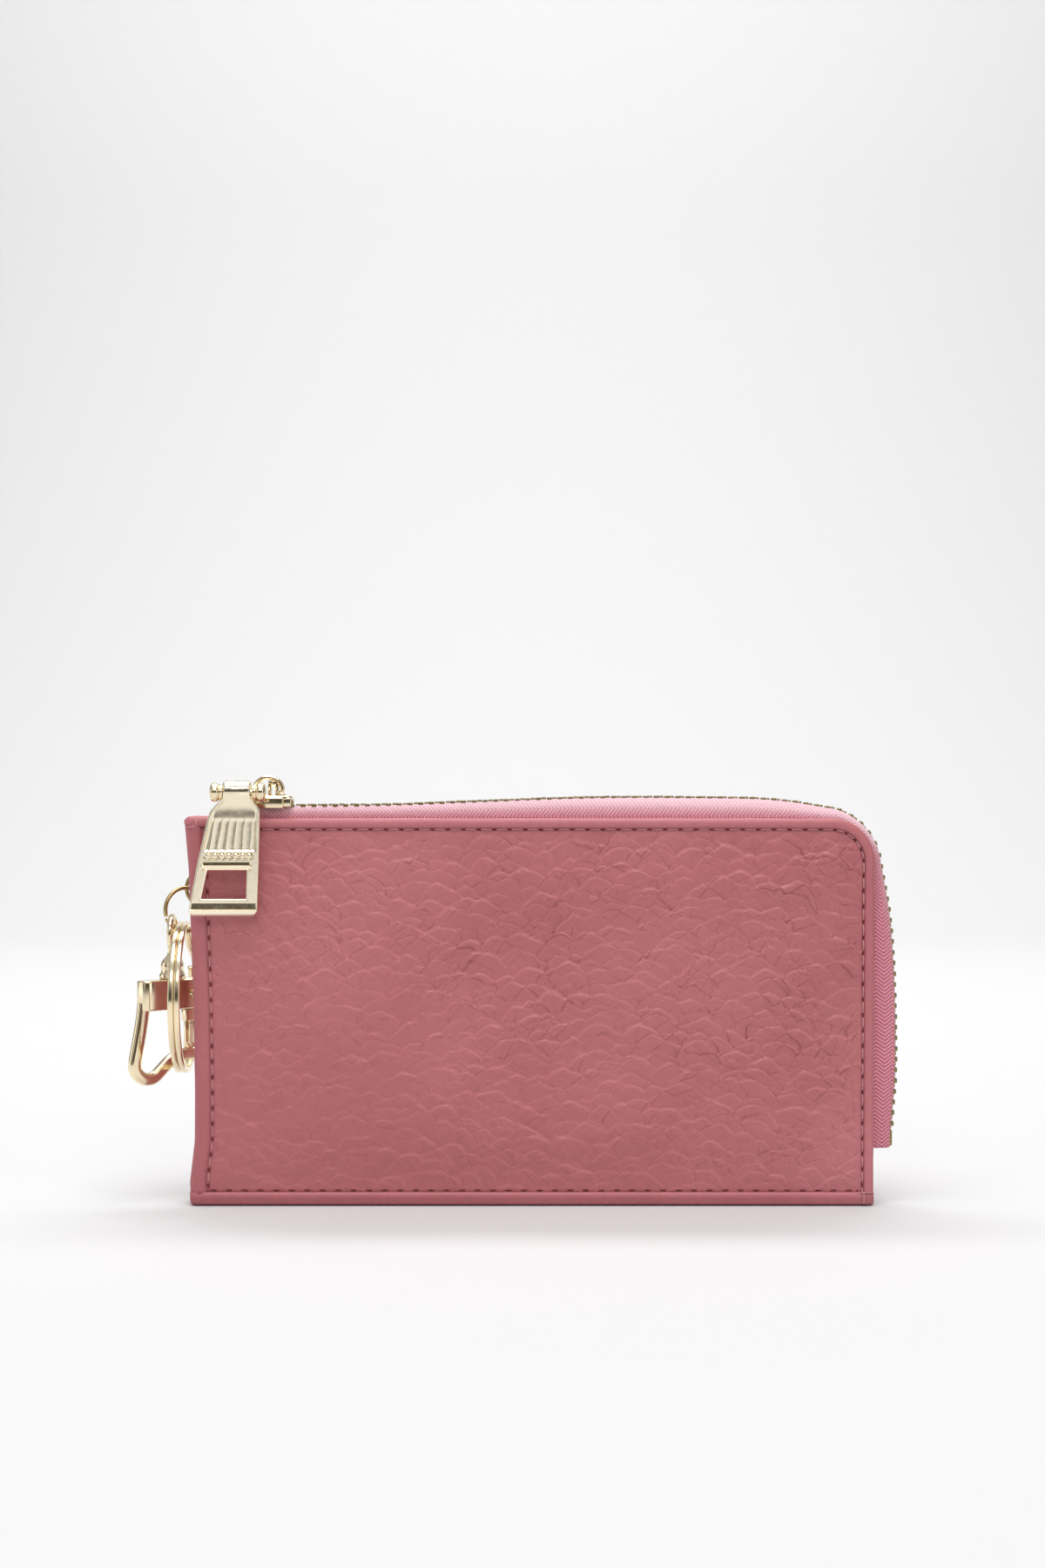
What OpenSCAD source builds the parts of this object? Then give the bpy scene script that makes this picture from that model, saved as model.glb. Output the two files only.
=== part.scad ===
// Wristlet wallet with a zip round the top and one side, and a key ring
// and a swivel clasp hanging from a small ring at the left edge.
// X runs along the width, Y from front to back, Z up.
// The wallet stands on its bottom edge at Z = 0.

/* [Body] */
// Overall width of the leather body
body_w = 150; // [140:1:160]
// Overall height of the leather body
body_h = 85; // [82:1:90]
// Half thickness of the body at the sewn left and bottom edges
half_t = 4.3; // [4.2:0.1:4.6]
// Outward lean of the upper part of each panel, in degrees
lean = 2.5; // [2:0.1:3]
// Thickness of the leather
leather_t = 1.2; // [1.0:0.1:1.3]
// Radius of the rounded corner that the zip runs round
corner_r = 9.5; // [8:0.5:12]

/* [Edges] */
// Width of the leather binding seen from the front
binding_w = 2.8; // [2.4:0.1:3.4]
// Thickness of the binding
binding_t = 0.5; // [0.4:0.05:0.55]
// Width of the folded strip on the left edge
strip_w = 3.4; // [3:0.1:4]

/* [Zip] */
// How far the zip tape stands above the panel edges
tape_rise = 3.4; // [3.2:0.1:3.6]
// Distance from one zip tooth to the next
tooth_pitch = 2.36; // [2.3:0.02:2.5]
// Centre of the slider along the width when the zip is shut
slider_x = -58.2; // [-59:0.1:-57]

/* [Pull tab] */
// Width of the pull tab at its lower end
tab_w = 15; // [13:0.5:16]
// Length of the pull tab
tab_l = 29; // [27:0.5:30]
// Thickness of the pull tab
tab_t = 2; // [1.6:0.1:2]

/* [Rings] */
// Outside diameter of the split ring
ring_od = 33.9; // [33.5:0.1:34]
// Turn of the clasp about its swivel, in degrees
clasp_turn = 41; // [40:1:44]

/* [Hidden] */
$fn = 64;
e = 0.05;
face = half_t + binding_t;            // outer face of the bindings
p1 = [-50, body_h];                   // left end of the fold line
p2 = [body_w / 2, 12];                // right end of the fold line
fold_a = atan2(p2[1] - p1[1], p2[0] - p1[0]);
left = -body_w / 2;
right = body_w / 2;
leather_y = binding_t;                // depths measured from the binding face
tape_y = binding_t + leather_t + binding_t + e;
lining_y = binding_t + leather_t + e;
lining_t = 0.4;
tape_t = 0.5;
zip_top = body_h + tape_rise;         // top face of the zip tape
teeth_c = zip_top - 0.35;
link_z = 90.7;
link_x = -59.6;
pin_x = -64.05;
pin_y = -9.0;
ring_x = -70.0;
jump_c = [-77.8, 7.0, 64.3];
split_c = [-78.0, 6.8, 61.75 - ring_od / 2];
clasp_c = [-80.4, 5.2, -0.3];
gold = [0.85, 0.72, 0.45];
rose = [0.72, 0.40, 0.43];
rose_dark = [0.62, 0.32, 0.36];
lining_c = [0.50, 0.30, 0.33];
pink = [0.92, 0.58, 0.68];

// Outline of a panel, drawn in from the body's edge by d.
module outline(d) {
  translate([left + d, d]) square([body_w - 2 * d, body_h - corner_r - d]);
  translate([left + d, d]) square([body_w - corner_r - d, body_h - 2 * d]);
  translate([right - corner_r, body_h - corner_r]) circle(corner_r - d);
}

// Band along the top and right edges, between two distances inside the edge.
module band(out, in) {
  difference() {
    outline(out);
    translate([left - 10, -10]) square([10 + body_w - corner_r, 10 + body_h - in]);
    translate([left - 10, -10]) square([10 + body_w - in, 10 + body_h - corner_r]);
    translate([right - corner_r, body_h - corner_r]) circle(corner_r - in);
  }
}

// Half plane above (1) or below (-1) the fold line, drawn past it by over.
module side(s, over = 0) {
  translate(p1) rotate(fold_a) translate([-150, s > 0 ? -over : over - 200]) square([400, 200]);
}

// Plate between two depths behind the front binding face, not leaned.
module layer(y0, t) {
  translate([0, -face + y0 + t, 0]) rotate([90, 0, 0]) linear_extrude(t) children();
}

// Turns what it holds about the fold line by the lean.
module leaned() {
  translate([p1[0], -face, p1[1]]) rotate([0, -fold_a, 0]) rotate([lean, 0, 0])
    rotate([0, fold_a, 0]) translate([-p1[0], face, -p1[1]]) children();
}

module to_back() { mirror([0, 1, 0]) children(); }

module front_leather_lower() color(rose)
  layer(leather_y, leather_t) intersection() { outline(binding_t + e); side(-1); }

module front_leather_upper() color(rose)
  leaned() layer(leather_y, leather_t) intersection() { outline(binding_t + e); side(1); }

module back_leather() color(rose) to_back() {
  layer(leather_y, leather_t) intersection() { outline(binding_t + e); side(-1, 0.5); }
  leaned() layer(leather_y, leather_t) intersection() { outline(binding_t + e); side(1); }
}

module front_lining_lower() color(lining_c)
  layer(lining_y, lining_t) intersection() { outline(binding_w + 0.5); side(-1); }

module front_lining_upper() color(lining_c)
  leaned() layer(lining_y, lining_t) intersection() { outline(binding_w + 0.5); side(1); }

module back_lining() color(lining_c) to_back() {
  layer(lining_y, lining_t) intersection() { outline(binding_w + 0.5); side(-1, 0.5); }
  leaned() layer(lining_y, lining_t) intersection() { outline(binding_w + 0.5); side(1); }
}

// Binding folded over the top and right edges: front leg, edge and back leg.
module binding(s, over = 0) {
  layer(0, binding_t) bound(0, binding_w, s, over);
  layer(0, 2 * binding_t + leather_t) bound(0, binding_t, s, over);
  layer(binding_t + leather_t, binding_t) bound(0, binding_w, s, over);
}

module bound(out, in, s, over) {
  intersection() {
    band(out, in);
    side(s, over);
    translate([left, binding_w + e]) square([body_w, body_h]);
  }
}

module front_binding_lower() color(rose_dark) binding(-1);

module front_binding_upper() color(rose_dark) leaned() binding(1);

module back_binding() color(rose_dark) to_back() {
  binding(-1, 0.5);
  leaned() binding(1);
}

// Channel that wraps the bottom edges of both panels.
module bottom_binding() color(rose_dark) {
  translate([left, -face, 0]) cube([body_w, 2 * face, binding_t]);
  translate([left, -face, 0]) cube([body_w, binding_t, binding_w]);
  translate([left, face - binding_t, 0]) cube([body_w, binding_t, binding_w]);
}

// Folded strip that closes the left edge.
module left_edge_strip() color(rose_dark) {
  z0 = binding_w + e;
  h = body_h - 2 * binding_w - 2 * e;
  translate([left, -face, z0]) cube([binding_t, 2 * face, h]);
  translate([left, -face, z0]) cube([strip_w, binding_t, h]);
  translate([left, face - binding_t, z0]) cube([strip_w, binding_t, h]);
}

// Thread along the top and right edges.
module edge_thread(s) {
  layer(-0.2, 0.2) intersection() {
    band(1.9, 2.3);
    side(s);
    translate([left + 3, 4]) square([body_w, body_h]);
    translate(p1) rotate(fold_a) translate([-150, s > 0 ? 0.3 : -200.3]) square([400, 200]);
  }
}

module left_thread() {
  translate([left + strip_w + 0.5, -half_t - 0.2, 4]) cube([0.4, 0.2, body_h - 8]);
}

module front_thread_lower() color(rose_dark) {
  edge_thread(-1);
  left_thread();
}

module front_thread_upper() color(rose_dark) leaned() edge_thread(1);

module back_thread() color(rose_dark) to_back() {
  edge_thread(-1);
  leaned() edge_thread(1);
  left_thread();
}

module bottom_thread() color(rose_dark) {
  for (s = [-1, 1])
    translate([left + 2, s > 0 ? face : -face - 0.2, binding_w - 1.1]) cube([body_w - 4, 0.2, 0.4]);
}

module card_pocket_tall() color(lining_c)
  translate([-58, 2.15, 4]) cube([116, 0.3, 52]);

module card_pocket_short() color(lining_c)
  translate([-58, 1.75, 4]) cube([116, 0.3, 42]);

// One half of the zip tape: a leg behind the binding, a wall and a top strip.
module tape_half() {
  difference() {
    leaned() {
      layer(tape_y, tape_t) tape_band(-tape_rise, binding_w);
      layer(tape_y, 12) tape_band(-tape_rise, -tape_rise + tape_t);
    }
    translate([-100, -2.3, 0]) cube([200, 40, 120]);
    // nothing left of the zip's closed end
    translate([-100, -20, 60]) cube([100 - 67, 40, 40]);
  }
}

module tape_band(out, in) {
  intersection() {
    band(out, in);
    translate([left, 13]) square([body_w + 20, body_h + 20]);
  }
}

module zip_tape_front() color(pink) tape_half();

module zip_tape_back() color(pink) to_back() tape_half();

// Teeth of one half, from the slider round the corner to the bottom stop.
module teeth(s) {
  r = corner_r + tape_rise - 0.35;
  top_l = right - corner_r - slider_x - 3;
  n_top = floor(top_l / tooth_pitch);
  rest = top_l - n_top * tooth_pitch;
  arc_l = r * PI / 2;
  n_arc = floor((arc_l + rest) / tooth_pitch);
  shift = s > 0 ? 0 : tooth_pitch / 2;
  for (i = [0 : n_top - 1])
    translate([slider_x + 3 + shift + i * tooth_pitch, 0, teeth_c]) tooth(s);
  for (i = [0 : n_arc - 1]) {
    a = ((n_top + i) * tooth_pitch + shift - top_l) / r * 180 / PI;
    if (a > 0) translate([right - corner_r, 0, body_h - corner_r]) rotate([0, a, 0])
      translate([0, 0, r]) tooth(s);
  }
  for (i = [0 : floor((body_h - corner_r - 19) / tooth_pitch)])
    translate([right + tape_rise - 0.35, 0, 18 + shift + i * tooth_pitch]) rotate([0, 90, 0]) tooth(s);
}

module tooth(s) {
  translate([-0.5, s > 0 ? -0.4 : -2.2, -0.5]) cube([1, 2.6, 1.0]);
}

// The last few teeth beyond the slider stand apart.
module parted_teeth(s) {
  for (i = [0 : 1])
    translate([slider_x - 3.2 - i * tooth_pitch - 0.5, s > 0 ? 0.6 : -2.2, teeth_c - 0.5]) cube([1, 1.6, 1]);
}

module zip_teeth_front() color(gold) {
  teeth(-1);
  parted_teeth(-1);
}

module zip_teeth_back() color(gold) {
  teeth(1);
  parted_teeth(1);
}

// Leather tabs that close the edge beyond each end of the zip.
module zip_end_tabs() color(rose_dark) {
  translate([-74.4, -2.5, 82.3]) cube([7.2, 5.0, 2.6]);
  translate([right - 2.7, -2.5, 0.6]) cube([2.6, 5.0, 11.8]);
}

module zip_top_stops() color(gold)
  for (s = [-1, 1])
    translate([-66.6, s > 0 ? 0.4 : -2.2, teeth_c - 0.6]) cube([1.6, 1.8, 1.2]);

module zip_bottom_stop() color(gold)
  translate([right + tape_rise - 0.95, -2.2, 12.6]) cube([1.2, 4.4, 3.8]);

// Slider: two plates joined by a post at the closing end.
module slider_body() color(gold) translate([slider_x, 0, 0]) {
  translate([0, 0, zip_top + 0.7]) linear_extrude(0.8) slider_plan();
  translate([0, 0, zip_top - 1.9]) linear_extrude(0.7) intersection() {
    slider_plan();
    translate([-6, -1.75]) square([12, 3.5]);
  }
  translate([-3.8, -0.45, zip_top - 1.3]) cube([2.2, 0.9, 2.2]);
}

module slider_plan() {
  difference() {
    intersection() {
      translate([-5.3, -4.2]) square([10.6, 8.4]);
      translate([0.2, 0]) circle(5.7);
    }
    for (s = [-1, 1]) translate([5.4, s * 4.9]) circle(1.9);
  }
}

// Arch on the slider that holds the pull link.
module slider_crown() color(gold)
  translate([0, 1.2, 0]) rotate([90, 0, 0]) linear_extrude(2.4) {
    z0 = zip_top + 1.5 + 0.01;
    difference() {
      union() {
        translate([-58.3, 91.1]) circle(3.4);
        translate([-61.7, z0]) square([1, 91.1 - z0]);
        translate([-55.9, z0]) square([1, 91.1 - z0]);
      }
      translate([-58.3, 91.1]) circle(2.4);
      translate([-60.7, z0 - 4]) square([4.8, 91.1 - z0 + 4]);
      translate([-64, z0 - 6]) square([12, 6]);
    }
  }

// Link that joins the crown to the pull pin.
module pull_link() color(gold) {
  r = 0.8;
  xl = -68.5;
  for (x = [link_x, xl])
    translate([x, 3.2, link_z]) rotate([90, 0, 0]) cylinder(r = r, h = 3.2 - pin_y - 1.0);
  translate([xl, 3.2, link_z]) rotate([0, 90, 0]) cylinder(r = r, h = link_x - xl);
  for (x = [link_x, xl]) translate([x, 3.2, link_z]) sphere(r);
  for (x = [link_x, xl]) translate([x, pin_y, link_z]) rotate([0, 90, 0])
    difference() {
      translate([0, 0, -0.8]) cylinder(r = 1.6, h = 1.6);
      translate([0, 0, -2]) cylinder(r = 0.75, h = 4);
    }
}

module pull_pin() color(gold) translate([pin_x, pin_y, link_z]) rotate([0, 90, 0]) {
  translate([0, 0, -5.6]) cylinder(r = 0.7, h = 11.2);
  for (s = [-1, 1]) translate([0, 0, s > 0 ? 5.4 : -6.3]) cylinder(r = 2.0, h = 0.9);
  for (s = [-1, 1]) translate([0, 0, s > 0 ? 5.27 : -5.47]) cylinder(r = 1.1, h = 0.2);
}

// Flat cast tab with a loop, ribs and a window; its left side slants out.
module pull_tab() color(gold) translate([pin_x, pin_y, link_z]) difference() {
  w = (tab_w - 15) / 2;
  l = 29 - tab_l;
  union() {
    rotate([0, 90, 0]) translate([0, 0, -3.1]) cylinder(r = 2.3, h = 5.9);
    translate([0, tab_t / 2, 0]) rotate([90, 0, 0]) linear_extrude(tab_t) difference() {
      polygon([[-3.1, -0.6], [2.8, -0.6], [3.0, -1.4], [4.8 + w, -4.0], [4.87 + w, -5.9],
               [4.2 + w, l - 25.8], [3.0 + w, l - 26.9], [-9.9 - w, l - 26.9], [-10.8 - w, l - 25.8],
               [-8.75 - w, -14.9], [-6.6 - w, -5.9], [-5.7 - w, -3.8], [-3.3, -1.4]]);
      polygon([[-6.65, -17.1], [1.95, -17.1], [1.76, l - 23.2], [-8.0, l - 23.2]]);
    }
  }
  rotate([0, 90, 0]) translate([0, 0, -5]) cylinder(r = 0.78, h = 10);
  for (x = [-5.7 : 1.6 : 2.3])
    translate([x - 0.4, -tab_t / 2 - 0.1, -12.3]) cube([0.8, 0.4, 6]);
}

// Leather tab folded round the straight side of the small ring.
module ring_tab() color(rose_dark) translate([0, 0, 66.3]) linear_extrude(5.4) {
  difference() {
    union() {
      translate([ring_x, 8.7]) circle(1.75);
      translate([ring_x, half_t + e]) square([14.5, 3.0]);
    }
    translate([ring_x, 8.7]) circle(0.95);
  }
}

module ring_tab_thread() color(rose_dark)
  translate([-58.5, half_t + e + 3.0, 66.7]) cube([0.4, 0.2, 4.6]);

module d_ring() color(gold) translate([ring_x, 8.7, 69.0]) rotate([90, 0, 0]) {
  translate([-4, 0, 0]) rotate([0, 0, 90]) rotate_extrude(angle = 180)
    translate([3.75, 0]) circle(0.5);
  for (s = [-1, 1]) translate([-4, s * 3.75, 0]) rotate([0, 90, 0]) cylinder(r = 0.5, h = 4);
  translate([0, -3.75, 0]) rotate([-90, 0, 0]) cylinder(r = 0.5, h = 7.5);
  for (s = [-1, 1]) translate([0, s * 3.75, 0]) sphere(0.5);
}

// Open ring that carries the split ring and the clasp.
module jump_ring() color(gold) translate(jump_c) rotate([90, 0, 35])
  rotate([0, 0, 197]) rotate_extrude(angle = 354) translate([4.9, 0]) circle(0.5);

module split_ring() color(gold) translate(split_c) rotate([0, 90, 0]) {
  for (z = [-1.3, 0.03])
    translate([0, 0, z]) difference() {
      cylinder(r = ring_od / 2, h = 1.27, $fn = 128);
      translate([0, 0, -1]) cylinder(r = ring_od / 2 - 1.4, h = 4, $fn = 128);
    }
  // the step where the two coils join
  rotate(90) translate([ring_od / 2 - 1.35, -1, -0.2]) cube([1.25, 2, 0.4]);
}

module clasp_place() translate(clasp_c) rotate([0, 0, clasp_turn]) children();

module clasp_eye() color(gold) translate(clasp_c) {
  translate([0, 0, 59.3]) rotate([0, 90, 0]) rotate_extrude() translate([3.9, 0]) circle(0.7);
  translate([0, 0, 51.4]) cylinder(r = 1.2, h = 4.0);
  translate([0, 0, 49.25]) cylinder(r1 = 3.0, r2 = 2.6, h = 2.4);
  translate([0, 0, 52.0]) sphere(2.6);
}

// Clasp: block with a slot for the gate, and the fixed hook.
module clasp_body() color(gold) clasp_place() difference() {
  union() {
    translate([-8.5, -2.3, 42.7]) cube([17, 4.6, 6.5]);
    translate([0, 1.4, 0]) rotate([90, 0, 0]) linear_extrude(2.8) {
      polygon([[-11.05, 30.9], [-8.85, 30.9], [-6.5, 43.5], [-8.5, 43.5]]);
      intersection() {
        translate([-6.3, 30.9]) difference() { circle(4.75); circle(2.55); }
        union() {
          translate([-20, 10.9]) square([13.7, 20]);
          translate([-6.3, 30.9]) polygon([[0, 0], [-1, -10], [10, -10]]);
        }
      }
      polygon([[-2.94, 27.54], [0.3, 30.78], [5.9, 31.4], [5.9, 33.4], [-0.5, 33.0], [-4.5, 29.1]]);
    }
  }
  translate([0.2, -1.15, 42]) cube([9, 2.3, 6.2]);
  translate([4.3, 5, 46]) rotate([90, 0, 0]) cylinder(r = 0.75, h = 10);
}

module clasp_gate() color(gold) clasp_place() difference() {
  union() {
    translate([4.3, 0.55, 46]) rotate([90, 0, 0]) cylinder(r = 1.7, h = 1.1);
    translate([3.3, -0.55, 33.7]) cube([2.2, 1.1, 12.3]);
    translate([3.0, -1.0, 33.7]) cube([2.8, 2.0, 8.6]);
  }
  translate([4.3, 5, 46]) rotate([90, 0, 0]) cylinder(r = 0.85, h = 10);
}

module gate_pin() color(gold) clasp_place() {
  translate([4.3, 2.5, 46]) rotate([90, 0, 0]) cylinder(r = 0.7, h = 5.0);
  for (s = [-1, 1]) translate([4.3, s > 0 ? 2.8 : -2.35, 46]) rotate([90, 0, 0]) cylinder(r = 1.1, h = 0.45);
}

module gate_spring() color(gold) clasp_place()
  translate([4.3, 1.05, 46]) rotate([90, 0, 0]) difference() {
    cylinder(r = 1.3, h = 0.4);
    translate([0, 0, -1]) cylinder(r = 0.85, h = 3);
  }

front_leather_lower();
front_leather_upper();
back_leather();
front_lining_lower();
front_lining_upper();
back_lining();
front_binding_lower();
front_binding_upper();
back_binding();
bottom_binding();
left_edge_strip();
front_thread_lower();
front_thread_upper();
back_thread();
bottom_thread();
card_pocket_tall();
card_pocket_short();
zip_tape_front();
zip_tape_back();
zip_teeth_front();
zip_teeth_back();
zip_end_tabs();
zip_top_stops();
zip_bottom_stop();
slider_body();
slider_crown();
pull_link();
pull_pin();
pull_tab();
ring_tab();
ring_tab_thread();
d_ring();
jump_ring();
split_ring();
clasp_eye();
clasp_body();
clasp_gate();
gate_pin();
gate_spring();
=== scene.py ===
import math
from contextlib import contextmanager

import bmesh
import bpy
import numpy as np
from mathutils import Matrix, Vector

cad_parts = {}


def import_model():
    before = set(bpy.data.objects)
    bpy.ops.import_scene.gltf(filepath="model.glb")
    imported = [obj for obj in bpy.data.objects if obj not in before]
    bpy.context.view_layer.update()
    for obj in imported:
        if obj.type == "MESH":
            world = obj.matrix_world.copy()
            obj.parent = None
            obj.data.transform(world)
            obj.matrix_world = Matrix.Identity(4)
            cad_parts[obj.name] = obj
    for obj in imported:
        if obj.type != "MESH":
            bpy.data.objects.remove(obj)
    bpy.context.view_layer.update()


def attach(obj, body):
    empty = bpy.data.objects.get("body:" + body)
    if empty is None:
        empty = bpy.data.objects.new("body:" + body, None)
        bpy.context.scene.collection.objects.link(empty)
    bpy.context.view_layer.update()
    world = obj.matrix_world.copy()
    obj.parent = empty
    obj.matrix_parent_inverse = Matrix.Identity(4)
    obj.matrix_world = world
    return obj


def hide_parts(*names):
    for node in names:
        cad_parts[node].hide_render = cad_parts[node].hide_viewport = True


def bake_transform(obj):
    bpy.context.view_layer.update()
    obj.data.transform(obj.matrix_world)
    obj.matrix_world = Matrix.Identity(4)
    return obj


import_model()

MM = 0.001
rng = np.random.default_rng(7)

# ---------------------------------------------------------------- sizes, mm
LEFT, RIGHT, TOP = -75.0, 75.0, 85.0
CR = 9.5                                     # corner radius
ACX, ACZ = RIGHT - CR, TOP - CR              # centre of the corner's arc
FACE, HALF = 4.8, 4.3                        # binding face, leather face
PITCH = 3.4                                  # one stitch
SEAM_X = -71.0                               # left seam
SEAM = 2.2                                   # the edge seams' distance from the outline
TOOTH = 2.36                                 # pitch of the zip's teeth
SX, ZT = -58.2, 88.4                         # the slider's place on the zip
PX, PY, PZ = -64.05, -9.0, 90.7              # the pull's pivot
FINE = 0.22           # mesh size of the pebbled leather
# the front panel folds along a line, and both panels lean out above it
P1 = np.array([-50.0, 85.0])
P2 = np.array([75.0, 12.0])
FD = (P2 - P1) / np.linalg.norm(P2 - P1)
FN = np.array([-FD[1], FD[0]])               # towards the upper right
LEAN = math.tan(math.radians(2.5))
LEAN_WIDTH = 6.0


def fold_n(x, z):
    return (x - P1[0]) * FN[0] + (z - P1[1]) * FN[1]


def lean(x, z):
    """How far a panel stands out from the middle because it leans, in mm."""
    n = fold_n(x, z)
    return LEAN * LEAN_WIDTH * np.log1p(np.exp(np.clip(n / LEAN_WIDTH, -30, 30)))


# ---------------------------------------------------------------- noise
def vnoise(x, z, scale, seed):
    """Value noise from -0.5 to 0.5."""
    n = 64
    t = np.random.default_rng(seed).random((n, n))
    u, v = np.asarray(x) / scale + 1000.5, np.asarray(z) / scale + 1000.5
    i, j = np.floor(u).astype(int), np.floor(v).astype(int)
    fu, fv = u - i, v - j
    fu, fv = fu * fu * (3 - 2 * fu), fv * fv * (3 - 2 * fv)
    a, b = t[i % n, j % n], t[(i + 1) % n, j % n]
    c, d = t[i % n, (j + 1) % n], t[(i + 1) % n, (j + 1) % n]
    return (a * (1 - fu) + b * fu) * (1 - fv) + (c * (1 - fu) + d * fu) * fv - 0.5


def fbm(x, z, scale, seed, octaves=3):
    out, amp = 0.0, 1.0
    for k in range(octaves):
        out = out + amp * vnoise(x, z, scale / 2**k, seed + k)
        amp *= 0.5
    return out


def smooth(a, b, t):
    t = np.clip((t - a) / (b - a), 0, 1)
    return t * t * (3 - 2 * t)


# ---------------------------------------------------------------- meshes
def add_object(name, data):
    o = bpy.data.objects.new(name, data)
    bpy.context.scene.collection.objects.link(o)
    return o


@contextmanager
def editing(me):
    """A bmesh of a mesh, written back at the end."""
    bm = bmesh.new()
    bm.from_mesh(me)
    yield bm
    bm.to_mesh(me)
    bm.free()


def smooth_faces(me):
    me.polygons.foreach_set("use_smooth", [True] * len(me.polygons))


def make(name, verts, faces, attrs=None, uv=None, flat=False):
    me = bpy.data.meshes.new(name)
    me.from_pydata((np.asarray(verts, float) * MM).tolist(), [], faces)
    me.update()
    if not flat:
        smooth_faces(me)
    for key, values in (attrs or {}).items():
        a = me.attributes.new(key, "FLOAT", "POINT")
        a.data.foreach_set("value", np.asarray(values, np.float32).ravel())
    if uv is not None:
        a = me.attributes.new("st", "FLOAT_VECTOR", "POINT")
        v = np.zeros((len(me.vertices), 3), np.float32)
        v[:, :2] = np.asarray(uv).reshape(-1, 2)
        a.data.foreach_set("vector", v.ravel())
    return add_object(name, me)


def grid_faces(n, m, loop_n=False, loop_m=False, base=0, flip=False):
    i = np.arange(n if loop_n else n - 1)
    j = np.arange(m if loop_m else m - 1)
    I, J = np.meshgrid(i, j, indexing="ij")
    a = I * m + J
    b = ((I + 1) % n) * m + J
    c = ((I + 1) % n) * m + (J + 1) % m
    d = I * m + (J + 1) % m
    q = np.stack([a, b, c, d] if not flip else [d, c, b, a], -1).reshape(-1, 4) + base
    return q.tolist()


def border(i0, i1, j0, j1):
    """The grid points round a block of rows i0 to i1 and columns j0 to j1, in order."""
    loop = [(i, j0) for i in range(i0, i1 + 1)] + [(i1, j) for j in range(j0 + 1, j1 + 1)]
    loop += [(i, j1) for i in range(i1 - 1, i0 - 1, -1)] + [(i0, j) for j in range(j1 - 1, j0, -1)]
    return loop


def slab(name, front, back, attrs=None, uv=None):
    """A closed sheet from two grids (n, m, 3) of the same size."""
    n, m = front.shape[:2]
    v = np.concatenate([front.reshape(-1, 3), back.reshape(-1, 3)])
    k = n * m
    f = grid_faces(n, m) + grid_faces(n, m, base=k, flip=True)
    rim = [i * m + j for i, j in border(0, n - 1, 0, m - 1)]
    for a, b in zip(rim, rim[1:] + rim[:1]):
        f.append([b, a, a + k, b + k])
    at = {key: np.concatenate([np.ravel(x), np.ravel(y)]) for key, (x, y) in (attrs or {}).items()}
    st = None if uv is None else np.concatenate([uv.reshape(-1, 2)] * 2)
    o = make(name, v, f, at, st)
    fix_normals(o)
    return o


def tube_sweep(name, rings, closed=False, attrs=None):
    """Skin over a list of closed cross-sections, (n, m, 3), with end caps if open."""
    rings = np.asarray(rings, float)
    n, m = rings.shape[:2]
    f = grid_faces(n, m, loop_n=closed, loop_m=True)
    if not closed:
        f.append(list(range(m)))
        f.append([(n - 1) * m + j for j in range(m)][::-1])
    o = make(name, rings.reshape(-1, 3), f, attrs)
    fix_normals(o)
    return o


def fix_normals(o):
    with editing(o.data) as bm:
        bmesh.ops.recalc_face_normals(bm, faces=bm.faces)


def wire(name, path, section, closed=False, up=(0, 0, 1)):
    """Sweep a 2-D section (k, 2) along a 3-D path. up keeps the section from turning."""
    p = np.asarray(path, float)
    t = np.roll(p, -1, 0) - np.roll(p, 1, 0) if closed else np.gradient(p, axis=0)
    t /= np.linalg.norm(t, axis=1)[:, None]
    ups = np.array([up(q) if callable(up) else up for q in p], float)
    a = np.cross(t, ups)
    a /= np.linalg.norm(a, axis=1)[:, None]
    b = np.cross(a, t)
    s = np.asarray(section, float)
    rings = p[:, None] + s[None, :, :1] * a[:, None] + s[None, :, 1:] * b[:, None]
    return tube_sweep(name, rings, closed)


def circle_section(r, k=14):
    a = np.linspace(0, 2 * math.pi, k, endpoint=False)
    return np.stack([r * np.cos(a), r * np.sin(a)], 1)


def box_section(w, h, r, k=4):
    out = []
    for cx, cy, a0 in ((w / 2 - r, h / 2 - r, 0), (-w / 2 + r, h / 2 - r, 90),
                       (-w / 2 + r, -h / 2 + r, 180), (w / 2 - r, -h / 2 + r, 270)):
        for i in range(k + 1):
            a = math.radians(a0 + 90 * i / k)
            out.append((cx + r * math.cos(a), cy + r * math.sin(a)))
    return np.array(out)


def lathe(name, profile, k):
    """Turn a (radius, height) outline about Z. The outline runs from axis to axis."""
    pr = np.asarray(profile, float)
    a = np.linspace(0, 2 * math.pi, k, endpoint=False)
    rings = np.stack([pr[:, None, 0] * np.cos(a), pr[:, None, 0] * np.sin(a),
                      np.repeat(pr[:, 1:], k, 1)], -1)
    return tube_sweep(name, rings)


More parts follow.
